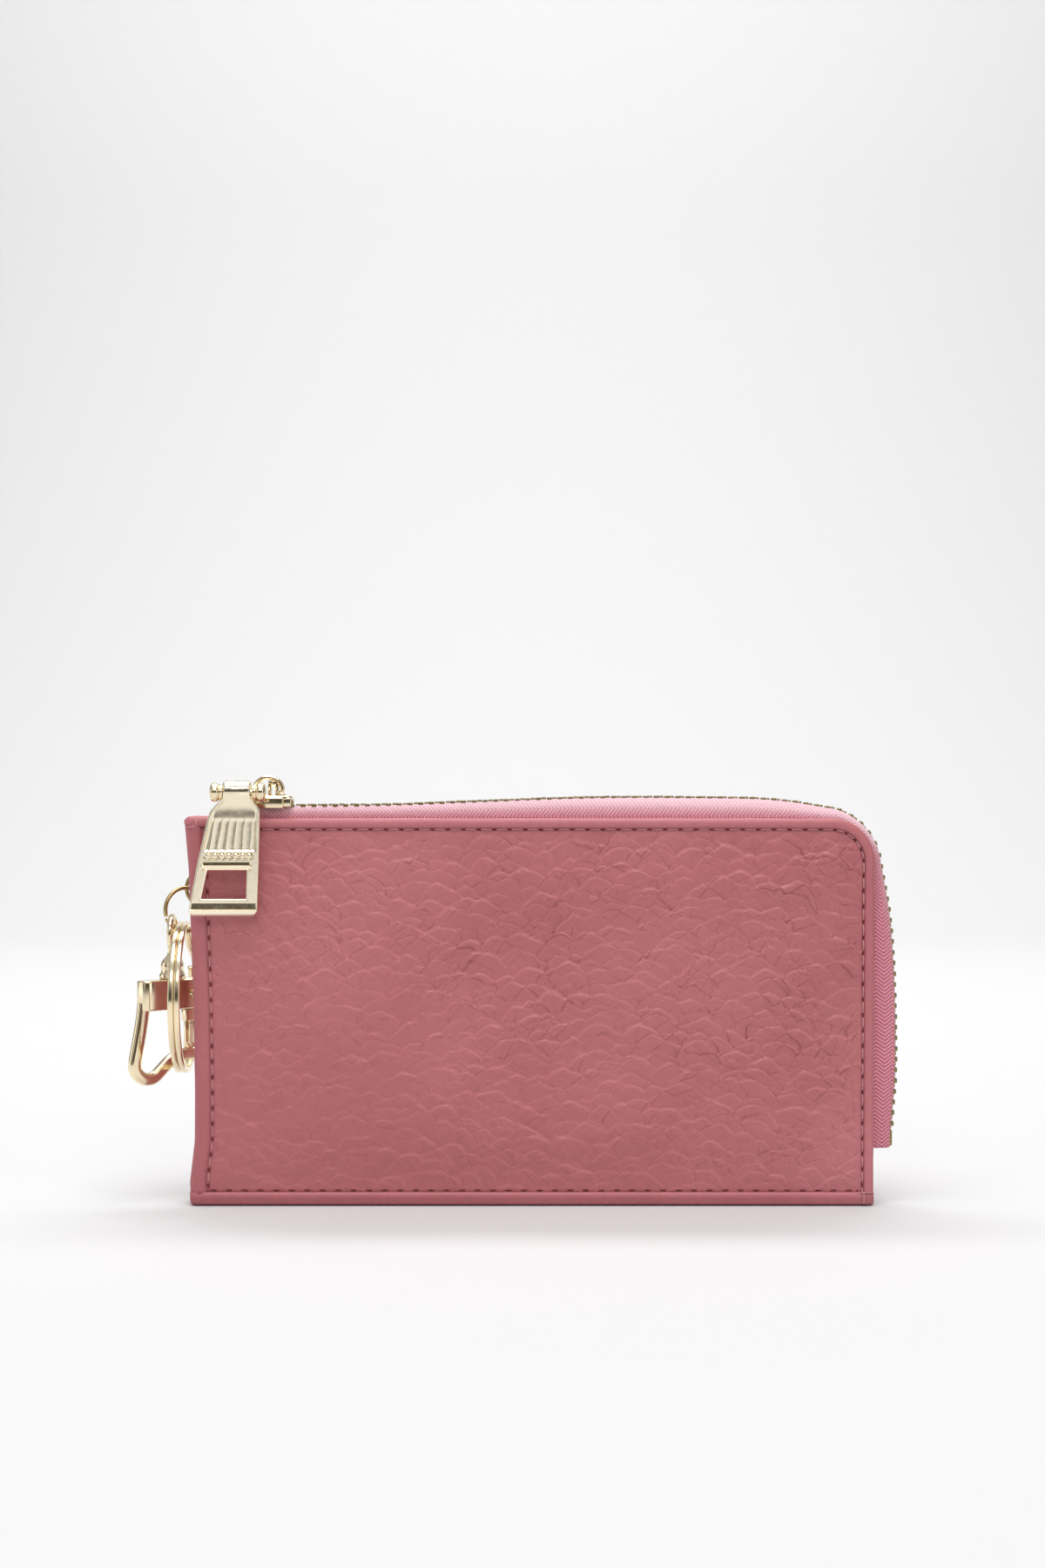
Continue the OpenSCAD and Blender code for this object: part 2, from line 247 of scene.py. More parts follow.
def flat_cut(name, outline, thick, bevel, holes=(), segs=4):
    """Plate with rounded edges from a 2-D outline (mm) with holes, in XY, centred on Z."""
    cu = bpy.data.curves.new(name, "CURVE")
    cu.dimensions = "2D"
    cu.fill_mode = "BOTH"
    for pts in [outline, *holes]:
        sp = cu.splines.new("POLY")
        sp.points.add(len(pts) - 1)
        for q, (x, y) in zip(sp.points, pts):
            q.co = (x * MM, y * MM, 0, 1)
        sp.use_cyclic_u = True
    cu.extrude = (thick / 2 - bevel) * MM
    cu.bevel_depth = bevel * MM
    cu.bevel_resolution = segs
    cu.offset = -bevel * MM
    tmp = add_object(name + "_c", cu)
    bpy.context.view_layer.update()
    me = bpy.data.meshes.new_from_object(tmp)
    bpy.data.objects.remove(tmp)
    bpy.data.curves.remove(cu)
    with editing(me) as bm:
        bmesh.ops.remove_doubles(bm, verts=bm.verts, dist=1e-6)
        bmesh.ops.recalc_face_normals(bm, faces=bm.faces)
    me.materials.clear()
    o = add_object(name, me)
    shade(o, 35)
    return o


def shade(o, angle):
    """Smooth faces, with sharp edges where they meet at more than angle degrees."""
    smooth_faces(o.data)
    with editing(o.data) as bm:
        for e in bm.edges:
            e.smooth = not (len(e.link_faces) == 2 and e.calc_face_angle(0) > math.radians(angle))


def move(o, to, turn=0.0, axis="Z"):
    """Turn a mesh's vertices about an axis, in degrees, then shift them, in mm."""
    m = Matrix.Translation(Vector(to) * MM) @ Matrix.Rotation(math.radians(turn), 4, axis)
    o.data.transform(m)
    o.data.update()
    return o


def box_mm(name, lo, hi, bevel, segs=3):
    v = [(x, y, z) for x in (lo[0], hi[0]) for y in (lo[1], hi[1]) for z in (lo[2], hi[2])]
    f = [(0, 1, 3, 2), (4, 6, 7, 5), (0, 4, 5, 1), (2, 3, 7, 6), (0, 2, 6, 4), (1, 5, 7, 3)]
    o = make(name, v, f, flat=True)
    with editing(o.data) as bm:
        bmesh.ops.bevel(bm, geom=bm.edges[:], offset=bevel * MM, segments=segs, profile=0.5,
                        affect="EDGES")
    fix_normals(o)
    shade(o, 50)
    return o


def joined(name, *objs):
    """One object from several, keeping their vertices and attributes."""
    bm = bmesh.new()
    for o in objs:
        bm.from_mesh(o.data)
    me = bpy.data.meshes.new(name)
    bm.to_mesh(me)
    bm.free()
    for o in objs:
        bpy.data.objects.remove(o)
    return add_object(name, me)


# ---------------------------------------------------------------- paths
L_TOP = ACX - LEFT
L_ARC = CR * math.pi / 2
L_ALL = L_TOP + L_ARC + ACZ


def edge_path(s):
    """Point and outward normal on the body's top and right edge, s mm from X = LEFT."""
    s = np.asarray(s, float)
    a = np.clip((s - L_TOP) / CR, 0, math.pi / 2)
    x = np.where(s < L_TOP, LEFT + s, ACX + CR * np.sin(a))
    z = np.where(s < L_TOP + L_ARC, ACZ + CR * np.cos(a), ACZ - (s - L_TOP - L_ARC))
    return np.stack([x, z], -1), np.stack([np.sin(a), np.cos(a)], -1)


def s_of_x(x):
    return x - LEFT


def s_of_z(z):
    return L_TOP + L_ARC + (ACZ - z)


# crest of the zip tape above the edge, read along the path (s, height)
CREST = np.array([
    (0, 2.2), (8, 2.3), (25, 2.5), (44, 2.6), (56, 3.1), (67, 3.5), (79, 4.0), (92, 4.3),
    (102, 4.3), (124, 4.1), (129, 3.8), (133, 3.3), (137, 2.7), (L_TOP, 1.9), (L_TOP + 4, 1.2),
    (L_TOP + 10, 0.9), (L_TOP + L_ARC, 1.4), (s_of_z(72), 2.3), (s_of_z(68.6), 3.2),
    (s_of_z(60), 4.1), (s_of_z(50), 4.8), (s_of_z(36), 5.1), (s_of_z(26), 5.0),
    (s_of_z(19.9), 4.3), (s_of_z(17), 3.9), (s_of_z(13), 4.0)])


def crest(s):
    h = np.interp(s, CREST[:, 0], CREST[:, 1])
    for d in (2.5, 5.0):
        h = h * 0.5 + 0.25 * (np.interp(s - d, CREST[:, 0], CREST[:, 1])
                              + np.interp(s + d, CREST[:, 0], CREST[:, 1]))
    return h


# ---------------------------------------------------------------- materials
def put(nt, n, values):
    """Fill a node's inputs, by name or number, each with a value or another node's output."""
    for key, value in values.items():
        sock = n.inputs[key]
        if hasattr(value, "is_output"):
            nt.links.new(value, sock)
        else:
            sock.default_value = (*value, 1) if sock.type == "RGBA" else value


def node(nt, kind, values=None, **settings):
    n = nt.nodes.new("ShaderNode" + kind)
    for key, value in settings.items():
        setattr(n, key, value)
    put(nt, n, values or {})
    return n


def new_mat(name):
    m = bpy.data.materials.new(name)
    m.use_nodes = True
    nt = m.node_tree
    return m, nt, nt.nodes["Principled BSDF"], node(nt, "TexCoord").outputs["Object"]


def ramp(nt, fac, stops):
    r = node(nt, "ValToRGB", {"Fac": fac})
    while len(r.color_ramp.elements) < len(stops):
        r.color_ramp.elements.new(0.5)
    for e, (p, c) in zip(r.color_ramp.elements, stops):
        e.position = p
        e.color = (*c, 1)
    return r.outputs["Color"]


def mix(nt, kind, fac, a, b):
    return node(nt, "Mix", {0: fac, 6: a, 7: b}, data_type="RGBA", blend_type=kind).outputs[2]


def math_n(nt, op, *values):
    return node(nt, "Math", dict(enumerate(values)), operation=op).outputs[0]


def noise(nt, co, scale, detail):
    return node(nt, "TexNoise", {"Vector": co, "Scale": scale, "Detail": detail}).outputs["Fac"]


def wave(nt, co, scale, direction, distortion=0.0):
    return node(nt, "TexWave", {"Vector": co, "Scale": scale, "Distortion": distortion},
                bands_direction=direction).outputs["Fac"]


def map_range(nt, value, to_min, to_max, from_min=0.0, from_max=1.0):
    return node(nt, "MapRange", {"Value": value, "From Min": from_min, "From Max": from_max,
                                 "To Min": to_min, "To Max": to_max}).outputs["Result"]


def bump(nt, height, strength, distance, under=None):
    """Bump with a depth in metres, on top of another normal if one is given."""
    values = {"Height": height, "Strength": strength, "Distance": distance}
    if under:
        values["Normal"] = under
    return node(nt, "Bump", values).outputs["Normal"]


def srgb(r, g, b):
    return tuple(((c / 255 + 0.055) / 1.055) ** 2.4 for c in (r, g, b))


def leather_mat(name, base, dark, light, rim, pore_scale, pore_depth):
    m, nt, b, co = new_mat(name)
    cloud = noise(nt, co, 22, 3)
    col = ramp(nt, cloud, [(0.30, dark), (0.52, base), (0.72, light)])
    mottle = ramp(nt, noise(nt, co, 900, 4), [(0.3, (0.55,) * 3), (0.7, (1, 1, 1))])
    col = mix(nt, "MULTIPLY", 0.16, col, mottle)
    hollow = (dark[0] * 0.42, dark[1] * 0.20, dark[2] * 0.22)
    # painted highlight: the rim colour on the pebbles' upper rims and the binding's crown
    # painted shade: the hollow colour in creases, needle holes, seam grooves and by the bindings
    for key, share, colour in (("edge", 0.6, rim), ("painted_shade", 0.8, hollow)):
        at = node(nt, "Attribute", attribute_name=key).outputs["Fac"]
        col = mix(nt, "MIX", math_n(nt, "MULTIPLY", at, share), col, colour)
    cell = node(nt, "TexVoronoi", {"Vector": co, "Scale": pore_scale},
                feature="DISTANCE_TO_EDGE").outputs["Distance"]
    pores = bump(nt, map_range(nt, cell, 0, 1, from_max=0.25), pore_depth, 0.00008)
    put(nt, b, {"Base Color": col, "Roughness": map_range(nt, cloud, 0.42, 0.60),
                "Specular IOR Level": 0.42, "Coat Weight": 0.06, "Coat Roughness": 0.35,
                "Sheen Weight": 0.05,
                "Normal": bump(nt, noise(nt, co, 420, 3), 0.35, 0.00010, pores)})
    return m


def cloth_mat(name, dark, light):
    m, nt, b, co = new_mat(name)
    h = math_n(nt, "MULTIPLY", wave(nt, co, 1700, "X", 0.6), wave(nt, co, 1700, "Z", 0.6))
    put(nt, b, {"Base Color": ramp(nt, h, [(0.0, dark), (0.6, light)]), "Roughness": 0.85,
                "Sheen Weight": 0.25, "Normal": bump(nt, h, 0.4, 0.00008)})
    return m


def tape_mat(name, dark, light):
    """Zip tape: a herringbone weave laid out along the tape with the st attribute, in mm."""
    row, rib, yarn = 1.3, 0.42, 0.11               # half widths of the weave's parts
    m, nt, b, co = new_mat(name)
    at = node(nt, "Attribute", attribute_name="st").outputs["Vector"]
    along, across, _ = node(nt, "SeparateXYZ", {0: at}).outputs
    diag = math_n(nt, "ADD", along, math_n(nt, "PINGPONG", across, row))
    ribs = math_n(nt, "DIVIDE", math_n(nt, "PINGPONG", diag, rib), rib)
    yarns = math_n(nt, "DIVIDE", math_n(nt, "PINGPONG", across, yarn), yarn)
    h = math_n(nt, "ADD", math_n(nt, "MULTIPLY", ribs, 0.7), math_n(nt, "MULTIPLY", yarns, 0.3))
    fuzzy = math_n(nt, "ADD", h, math_n(nt, "MULTIPLY", noise(nt, co, 1600, 2), 0.35))
    # painted highlight: paler where the tape faces up, as if lit from above
    up = node(nt, "SeparateXYZ", {0: node(nt, "NewGeometry").outputs["Normal"]}).outputs[2]
    pale = math_n(nt, "MAXIMUM", math_n(nt, "MULTIPLY", up, 1.1), 0.0)
    col = mix(nt, "MIX", math_n(nt, "MINIMUM", pale, 0.5),
              ramp(nt, h, [(0.18, dark), (0.70, light)]), (1.0, 0.78, 0.84))
    put(nt, b, {"Base Color": col, "Roughness": 0.72, "Sheen Weight": 0.22,
                "Sheen Roughness": 0.4, "Normal": bump(nt, fuzzy, 0.8, 0.00030)})
    return m


def metal_mat(name, base, rough, wear=0.05):
    m, nt, b, co = new_mat(name)
    cloud = noise(nt, co, 60, 5)
    col = ramp(nt, cloud, [(0.25, tuple(c * 0.90 for c in base)), (0.7, base)])
    worn = map_range(nt, noise(nt, co, 1200, 2), rough, rough + wear, 0.3, 0.7)
    put(nt, b, {"Base Color": col, "Metallic": 1.0, "Roughness": worn,
                "Normal": bump(nt, cloud, 0.06, 0.0001)})
    return m


def thread_mat(name, dark, light):
    m, nt, b, co = new_mat(name)
    twist = wave(nt, co, 1500, "DIAGONAL")
    put(nt, b, {"Base Color": ramp(nt, twist, [(0.2, dark), (0.7, light)]), "Roughness": 0.6,
                "Sheen Weight": 0.2, "Normal": bump(nt, twist, 0.5, 0.00006)})
    return m


# the fourth colour of each leather is the painted highlight on its rims
M_LEATHER = leather_mat("leather_pebbled", srgb(187, 109, 113), srgb(179, 101, 106),
                        srgb(194, 117, 122), srgb(216, 146, 150), 1150, 0.22)
M_EDGE = leather_mat("leather_smooth", srgb(184, 106, 112), srgb(177, 98, 104),
                     srgb(191, 114, 120), srgb(208, 136, 141), 1500, 0.12)
M_LINING = cloth_mat("lining_cloth", srgb(120, 66, 78), srgb(150, 88, 100))
M_TAPE = tape_mat("zip_tape", srgb(172, 78, 98), srgb(240, 158, 174))
M_THREAD = thread_mat("sewing_thread", srgb(170, 96, 108), srgb(222, 160, 166))
M_GOLD = metal_mat("pale_gold", srgb(250, 233, 198), 0.12)
M_TAB = metal_mat("pale_gold_cast", srgb(254, 242, 216), 0.14)
M_DULL = metal_mat("dull_brass", srgb(196, 176, 124), 0.26, 0.12)
M_TEETH = metal_mat("zip_brass", srgb(150, 136, 98), 0.28, 0.10)
M_STEEL = metal_mat("spring_steel", srgb(190, 190, 192), 0.3)


def done(o, material, ride=None, blend=False, replaces=()):
    """Material, body and replaced nodes of a finished piece."""
    o.data.materials.clear()
    o.data.materials.append(material)
    for p in o.data.polygons:
        p.material_index = 0
    if blend:                                    # baked in place and attached to no body
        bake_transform(o)
    elif ride:
        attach(o, ride)
    if replaces:
        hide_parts(*replaces)
    return o


# ---------------------------------------------------------------- soft body
def warp(v):
    """The left side isn't quite straight: it leans out at the top and in near the foot."""
    v = np.array(v, float)
    z = v[..., 2]
    w = np.interp(z, [0, 5, 14, 25, 45, 74, 85], [0.0, -0.3, 0.75, 0.8, 0.45, -0.6, -1.6])
    v[..., 2] += 0.45 * smooth(-58, -76, v[..., 0]) * smooth(72, 84, z)
    v[..., 0] += w * (1 - smooth(-75, -48, v[..., 0]))
    return v


def right_x(z, inset):
    """Right end of a panel's row at height z, inset from the body's edge."""
    r = CR - inset
    d = np.clip(np.asarray(z) - ACZ, 0, r)
    return ACX + np.sqrt(np.maximum(r * r - d * d, 0))


def edge_distance(x, z):
    """How far inside the body's outline a point is."""
    d = np.minimum(np.minimum(x - LEFT, z), np.minimum(RIGHT - x, TOP - z))
    corner = (x > ACX) & (z > ACZ)
    return np.where(corner, CR - np.hypot(x - ACX, z - ACZ), d)


def puff(x, z, seed):
    d = edge_distance(x, z)
    return 0.75 * smooth(2.4, 17, d) + 0.55 * fbm(x, z, 46, seed) * smooth(3, 20, d) \
        - 0.22 * np.exp(-((d - 2.3) / 0.8) ** 2)


def creases(x, z, angle, spacing, seed):
    """Height above the nearest of a set of wandering lines at an angle to X, in mm."""
    c, s = math.cos(math.radians(angle)), math.sin(math.radians(angle))
    u, v = x * c + z * s, -x * s + z * c
    t = v / spacing + 1.3 * vnoise(u, v, 2.4 * spacing, seed)
    t = t + 0.25 * vnoise(u, v, spacing, seed + 1)
    return (t - np.round(t)) * spacing


def scales(x, z, sx, sz, seed, turn):
    """Overlapping pebbles: height in mm, a painted highlight on the top one's upper rim, and
    painted shade in the gap beside it.
    """
    r = np.random.default_rng(seed).random((5, 64, 64))
    u, v = x / sx + 1000.0, z / sz + 1000.0
    i, j = np.floor(u).astype(int), np.floor(v).astype(int)
    c, s = np.cos(turn), np.sin(turn)
    best = np.full(np.shape(u), -9.0)            # below every pebble
    second, ratio, above, under = best.copy(), best * 0, best * 0, best * 0
    for b in (-2, -1, 0, 1, 2, 3):
        jj = j + b
        for a in (-2, -1, 0, 1, 2):
            ii = i + a
            q = r[:, ii % 64, jj % 64]
            dx = (u - (ii + 0.5 * (jj % 2) + 0.1 + 0.8 * q[0])) * sx
            dz = (v - (jj + 0.15 + 0.7 * q[1])) * sz
            p, w = dx * c + dz * s, dz * c - dx * s
            size = 0.75 + 0.55 * q[2]
            tall = np.where(w > 0, 1.35, 2.6) * sz * size
            e = (np.abs(p / (0.86 * sx * size)) ** 1.4 + np.abs(w / tall) ** 1.4) ** (1 / 1.4)
            h = 0.066 * w + 0.09 * (q[3] - 0.5) - 0.06 * np.clip(e, 0, 1) ** 4
            h = h - 2.0 * np.maximum(e - 1, 0)
            top = h > best
            under = np.where(top, ratio, np.where(h > second, e, under))
            second = np.where(top, best, np.maximum(second, h))
            ratio = np.where(top, e, ratio)
            above = np.where(top, w / sz, above)
            best = np.where(top, h, best)
    # painted highlight: only the upper side of the top pebble's rim, as if lit from above
    rim = np.exp(-((ratio - 0.975) / 0.024) ** 2) * smooth(0.1, 0.7, above)
    # the last value is painted shade in the gap just outside a pebble's edge
    return best, rim, np.exp(-((under - 1.035) / 0.05) ** 2) * (best - second < 0.25)


def grain(x, z, seed):
    """Pebbled leather: height in mm, a painted highlight on raised rims, painted shade in creases.
    """
    xx = x + 1.3 * fbm(x, z, 9.0, seed + 20) + 0.45 * fbm(x, z, 2.6, seed + 24)
    zz = z + 1.1 * fbm(x, z, 8.0, seed + 30) + 0.40 * fbm(x, z, 2.4, seed + 34)
    turn = 0.9 * vnoise(x, z, 26, seed + 41) + 0.7 * vnoise(x, z, 9, seed + 42)
    h1, rim1, gap1 = scales(xx, zz, 5.2, 2.45, seed, turn)
    h2, rim2, gap2 = scales(xx + 3, zz, 3.0, 1.5, seed + 3, turn * 1.5)
    patch = 0.74 + 0.36 * smooth(-0.3, 0.35, fbm(x, z, 24, seed + 40))
    # deeper towards the upper right, flat beside the seams
    region = 0.55 + 0.45 * smooth(-95, 30, x + 0.9 * (z - 40))
    region = region * (0.8 + 0.2 * smooth(15, 60, z))
    amp = 1.85 * patch * region * (0.35 + 0.65 * smooth(2.4, 6, edge_distance(x, z)))
    sub = smooth(-0.2, 0.25, vnoise(x, z, 6.0, seed + 45))
    h = 1.15 * h1 + 0.5 * sub * h2
    fade = 0.3 + 0.7 * smooth(-0.25, 0.25, vnoise(x, z, 4.5, seed + 60))
    rim = np.maximum(rim1, 0.6 * sub * rim2)
    gap = fade * gap1 + 0.35 * sub * gap2
    # wandering creases: lowered, with painted shade along them
    for k, ang in enumerate((27, -25)):
        r = creases(xx, zz, ang, 5.2, seed + 50 + 7 * k)
        m = smooth(0.0, 0.3, vnoise(x, z, 7, seed + 80 + k))
        h = h - 0.07 * m * np.exp(-np.abs(r) / 0.16)
        gap = gap + 0.35 * m * np.exp(-(r / 0.09) ** 2)
    h = h + 0.05 * vnoise(xx, zz, 2.8, seed + 70) + 0.02 * vnoise(xx, zz, 1.0, seed + 71)
    vary = 0.15 + 0.85 * smooth(-0.25, 0.35, vnoise(x, z, 3.2, seed + 90))
    rim = np.clip(rim * vary * amp * 0.40, 0, 1)
    return amp * h, rim, np.clip(0.62 * amp * region * gap, 0, 1)


def seam_place(x, z):
    """Distance along the top and right edge, and inside it."""
    ang = np.arctan2(x - ACX, z - ACZ)
    on_arc = (x > ACX) & (z > ACZ)
    right = (RIGHT - x < TOP - z) & ~on_arc
    s = np.where(on_arc, L_TOP + CR * ang, np.where(right, L_TOP + L_ARC + ACZ - z, x - LEFT))
    d = np.where(on_arc, CR - np.hypot(x - ACX, z - ACZ), np.minimum(RIGHT - x, TOP - z))
    return s, d


def holes_near(x, z):
    """Depth of the needle holes along the panel's seams, 0 to 1."""
    zc = np.clip(np.round((z - 4.2) / PITCH) * PITCH + 4.2, 4.2, 4.2 + 22 * PITCH)
    left = np.exp(-((x - SEAM_X) / 0.25) ** 2 - ((z - zc) / 0.55) ** 4)
    s, d = seam_place(x, z)
    sc = np.clip(np.round((s - 5.5) / PITCH) * PITCH + 5.5, 5.5, L_ALL - 4)
    top = np.exp(-((d - 2.46) / 0.2) ** 2 - ((s - sc) / 0.55) ** 4)
    xc = np.clip(np.round((x + 73.2) / PITCH) * PITCH - 73.2, -69.8, 71.0)
    foot = np.exp(-((z - 3.1) / 0.2) ** 2 - ((x - xc) / 0.6) ** 4)
    return np.clip(left + top + foot, 0, 1)


def panel(name, sign, fine, seed, replaces, blend):
    u = np.linspace(0, 1, int(148 / fine))[None, :]
    z = np.linspace(1.2, TOP - 0.8, int(83 / fine))[:, None] + 0 * u
    x = LEFT + 1.4 + (right_x(z, 0.8) - LEFT - 1.4) * u
    h, rim, crease = grain(x, z, seed)
    hole = holes_near(x, z)
    groove = np.exp(-((x - SEAM_X) / 0.5) ** 2)
    y = HALF + lean(x, z) + puff(x, z, seed + 5)
    front = warp(np.stack([x, sign * (y + h - 0.55 * hole - 0.18 * groove), z], -1))
    back = warp(np.stack([x, sign * (y - 1.15), z], -1))
    seam_d = np.minimum(seam_place(x, z)[1], z - 0.6)
    shade_by_binding = np.exp(-(np.maximum(seam_d - 2.3, 0) / 0.2) ** 2)
    # painted shade in creases, needle holes, the left seam's groove and beside the bindings
    painted_shade = np.clip(crease * 0.85 + hole * 1.2 + 0.25 * groove + 0.3 * shade_by_binding, 0, 1)
    o = slab(name, front, back, {"edge": (rim, rim * 0), "painted_shade": (painted_shade, painted_shade * 0)})
    return done(o, M_LEATHER, None if blend else "wallet", blend, replaces)


panel("front_panel", -1, FINE, 11, ("front_leather_lower", "front_leather_upper"), True)
panel("back_panel", 1, FINE * 1.5, 57, ("back_leather",), False)


def lining(name, sign, seed, replaces, blend):
    z = np.linspace(3.2, TOP - 3.6, 110)[:, None] + np.zeros((1, 190))
    u = np.linspace(0, 1, 190)[None, :]
    x = LEFT + 3.6 + (right_x(z, 3.6) - LEFT - 3.6) * u
    y = HALF + lean(x, z) + puff(x, z, seed) - 1.3
    wr = 0.22 * fbm(x, z, 14, seed + 9) * smooth(3, 10, edge_distance(x, z))
    a = warp(np.stack([x, sign * (y - 0.15), z], -1))
    b = warp(np.stack([x, sign * (y - 0.55 + wr - 0.12), z], -1))
    return done(slab(name, a, b), M_LINING, None if blend else "wallet", blend, replaces)


lining("lining_front", -1, 16, ("front_lining_lower", "front_lining_upper"), True)
lining("lining_back", 1, 62, ("back_lining",), False)

for k, (name, y0, top) in enumerate((("pocket_tall", 2.15, 56.0), ("pocket_short", 1.70, 46.0))):
    z = np.linspace(4, top, 60)[:, None] + np.zeros((1, 130))
    x = np.linspace(-58, 58, 130)[None, :] + 0 * z
    sag = 0.35 * fbm(x, z, 24, 90 + k) * smooth(-58, -50, x) * smooth(58, 50, x)
    hem = 0.18 * smooth(top - 5.2, top - 4.8, z)
    a = np.stack([x, y0 + 0.3 + sag * 0.3, z], -1)
    b = np.stack([x, y0 - 0.02 + sag * 0.3 - hem, z], -1)
    done(slab(name, a, b), M_LINING, "wallet", replaces=("card_" + name,))

# ---------------------------------------------------------------- bindings
# a binding's section: how far out from the body's outline, how deep under its face
BSEC = np.array([
    (-2.3, 0.80), (-2.24, 0.34), (-2.02, 0.04), (-1.7, -0.10), (-1.25, -0.14), (-0.8, -0.06),
    (-0.40, 0.14), (-0.12, 0.48), (0.0, 1.0), (-0.04, 1.5), (-0.22, 1.95), (-0.6, 2.2),
    (-1.4, 2.3), (-2.25, 2.25)])


def binding(name, sign, replaces, blend):
    s = np.arange(0.05, L_ALL - 2.7, 0.5)
    e, nrm = edge_path(s)
    out, depth = BSEC[None, :, 0], BSEC[None, :, 1]
    end = np.minimum(1, np.sqrt(np.clip((s + 0.15) / 1.3, 0.02, 1)))[:, None]
    squeeze = (0.06 * np.cos(2 * math.pi * (s - 2.0) / PITCH))[:, None] * smooth(-1.3, -2.1, out)
    wob = (0.08 * vnoise(s, 0 * s, 9, 5 + sign) + 0.05 * vnoise(s, 0 * s, 2.5, 8))[:, None]
    off = out * end - 1.4 * (1 - end) + wob
    px, pz = (e[:, None, k] + nrm[:, None, k] * off for k in (0, 1))
    y = FACE + lean(px, pz) - (1.1 + (depth - 1.1) * end + squeeze * 1.6)
    rings = warp(np.stack([px, sign * y, pz], -1))
    painted_shade, edge = np.zeros((2, *rings.shape[:2]))
    # painted shade where the binding's inner edge meets the leather, a painted highlight on its
    # crown
    painted_shade[:, 0] = 0.6
    painted_shade[:, 1] = 0.35
    edge[:, 3:6] = 0.25
    ob = tube_sweep(name, rings, attrs={"painted_shade": painted_shade, "edge": edge})
    return done(ob, M_EDGE, None if blend else "wallet", blend, replaces)


binding("binding_front", -1, ("front_binding_lower", "front_binding_upper"), True)
binding("binding_back", 1, ("back_binding",), False)


def channel(name, sec, length, make_point, replaces, step, plugs=()):
    """A folded strip of U section, closed at its ends by plugs."""
    rings = np.stack([make_point(sec, q) for q in np.arange(0, length + step / 2, step)])
    ob = tube_sweep(name, warp(rings))
    if plugs:
        ob = joined(name, ob, *plugs)
    return done(ob, M_EDGE, "wallet", replaces=replaces)


def u_section(half, leg, t, r):
    """Closed U outline: across from -half to half, and inward from its base at 0."""
    pts = [(-half + 0.06, leg), (-half - 0.08, leg * 0.75), (-half - 0.1, leg * 0.5)]
    for i in range(6):
        a = math.pi / 2 * i / 5
        pts.append((-half + r - r * math.cos(a), r - r * math.sin(a)))
    pts += [(-x, z) for x, z in pts[::-1]]
    inner = [(half - t, leg), (half - t, r), (half - r, t)]
    return np.array(pts + inner + [(-x, z) for x, z in inner[::-1]])


def bottom_point(sec, t):
    narrow = 1.0 if 0.6 < t < 149.2 else 0.93
    wob = 0.05 * vnoise(t, 0.0, 3.1, 9) + 0.04 * math.cos(2 * math.pi * t / PITCH)
    leg = sec[:, 1] > 1.2
    return np.stack([np.full(len(sec), LEFT + 0.02 + t),
                     sec[:, 0] * narrow + np.sign(sec[:, 0]) * wob * leg,
                     np.maximum(sec[:, 1], 0.0)], -1)


channel("foot_binding", u_section(FACE, 2.9, 0.55, 1.35), 149.96, bottom_point,
        ("bottom_binding",), 0.6, (box_mm("p1", (-74.75, -4.3, 0.45), (-72.0, 4.3, 2.6), 0.4),
                                   box_mm("p2", (73.4, -4.3, 0.45), (74.8, 4.3, 2.6), 0.4)))


def left_point(sec, t):
    z = 2.6 + t
    wob = 0.06 * vnoise(z, 0.0, 5.0, 12)
    return np.stack([LEFT + sec[:, 1] + 0.02 * wob, sec[:, 0] + np.sign(sec[:, 0]) * wob * 0.6,
                     np.full(len(sec), z)], -1)


channel("side_strip", u_section(FACE - 0.05, 3.55, 0.5, 1.5), 80.7, left_point,
        ("left_edge_strip",), 0.8)

done(joined("end_tabs", box_mm("e1", (-74.3, -2.6, 82.2), (-67.2, 2.6, 84.6), 0.7),
            box_mm("e2", (72.2, -2.9, 0.7), (74.85, 2.9, 12.4), 0.9)),
     M_EDGE, "wallet", replaces=("zip_end_tabs",))


# ---------------------------------------------------------------- stitching
def stitch_mesh(name, segs, r=0.17):
    """Short threads that dive at both ends. segs holds (start, end, outward) in mm."""
    V, F = [], []
    k, n = 6, 7                                  # sides of a thread, rings along it
    for a, b, out in segs:
        a, b, out = (np.asarray(q, float) for q in (a, b, out))
        d = b - a
        L = np.linalg.norm(d)
        d = d / L
        side = np.cross(d, out)
        base = len(V)
        for i in range(n):
            t = i / (n - 1)
            lift = 0.30 * (1 - (2 * t - 1) ** 4) - 0.14
            c = a + d * L * t + out * lift
            rr = r * (0.75 + 0.25 * math.sin(math.pi * t))
            for j in range(k):
                ang = 2 * math.pi * j / k
                V.append(c + rr * (math.cos(ang) * side + 0.8 * math.sin(ang) * out))
        # the same faces turned outward, each still starting from its first corner
        F += [q[:1] + q[:0:-1] for q in grid_faces(n, k, loop_m=True, base=base)]
        F.append([base + j for j in range(k)][::-1])
        F.append([base + (n - 1) * k + j for j in range(k)])
    o = make(name, V, F)
    fix_normals(o)
    return o


def seam_segments(sign):
    segs, out = [], (0, sign, 0)
    s = 5.5
    while s < L_ALL - 4:
        pts = []
        for q in (s + 0.5, s + PITCH - 0.5):
            e, nr = edge_path(np.array([q]))
            p = e[0] - nr[0] * (SEAM + 0.24)
            y = HALF + float(lean(p[0], p[1])) + 0.02
            pts.append((p[0], sign * y, p[1]))
        segs.append((pts[0], pts[1], out))
        s += PITCH
    for i in range(22):
        z0 = 4.2 + i * PITCH
        pts = []
        for q in (z0 + 0.5, z0 + PITCH - 0.5):
            y = HALF + float(lean(SEAM_X, q) + puff(SEAM_X, q, 16 if sign < 0 else 62)) - 0.22
            pts.append((SEAM_X, sign * y, q))
        segs.append((pts[0], pts[1], out))
    return [(warp(a), warp(b), o) for a, b, o in segs]


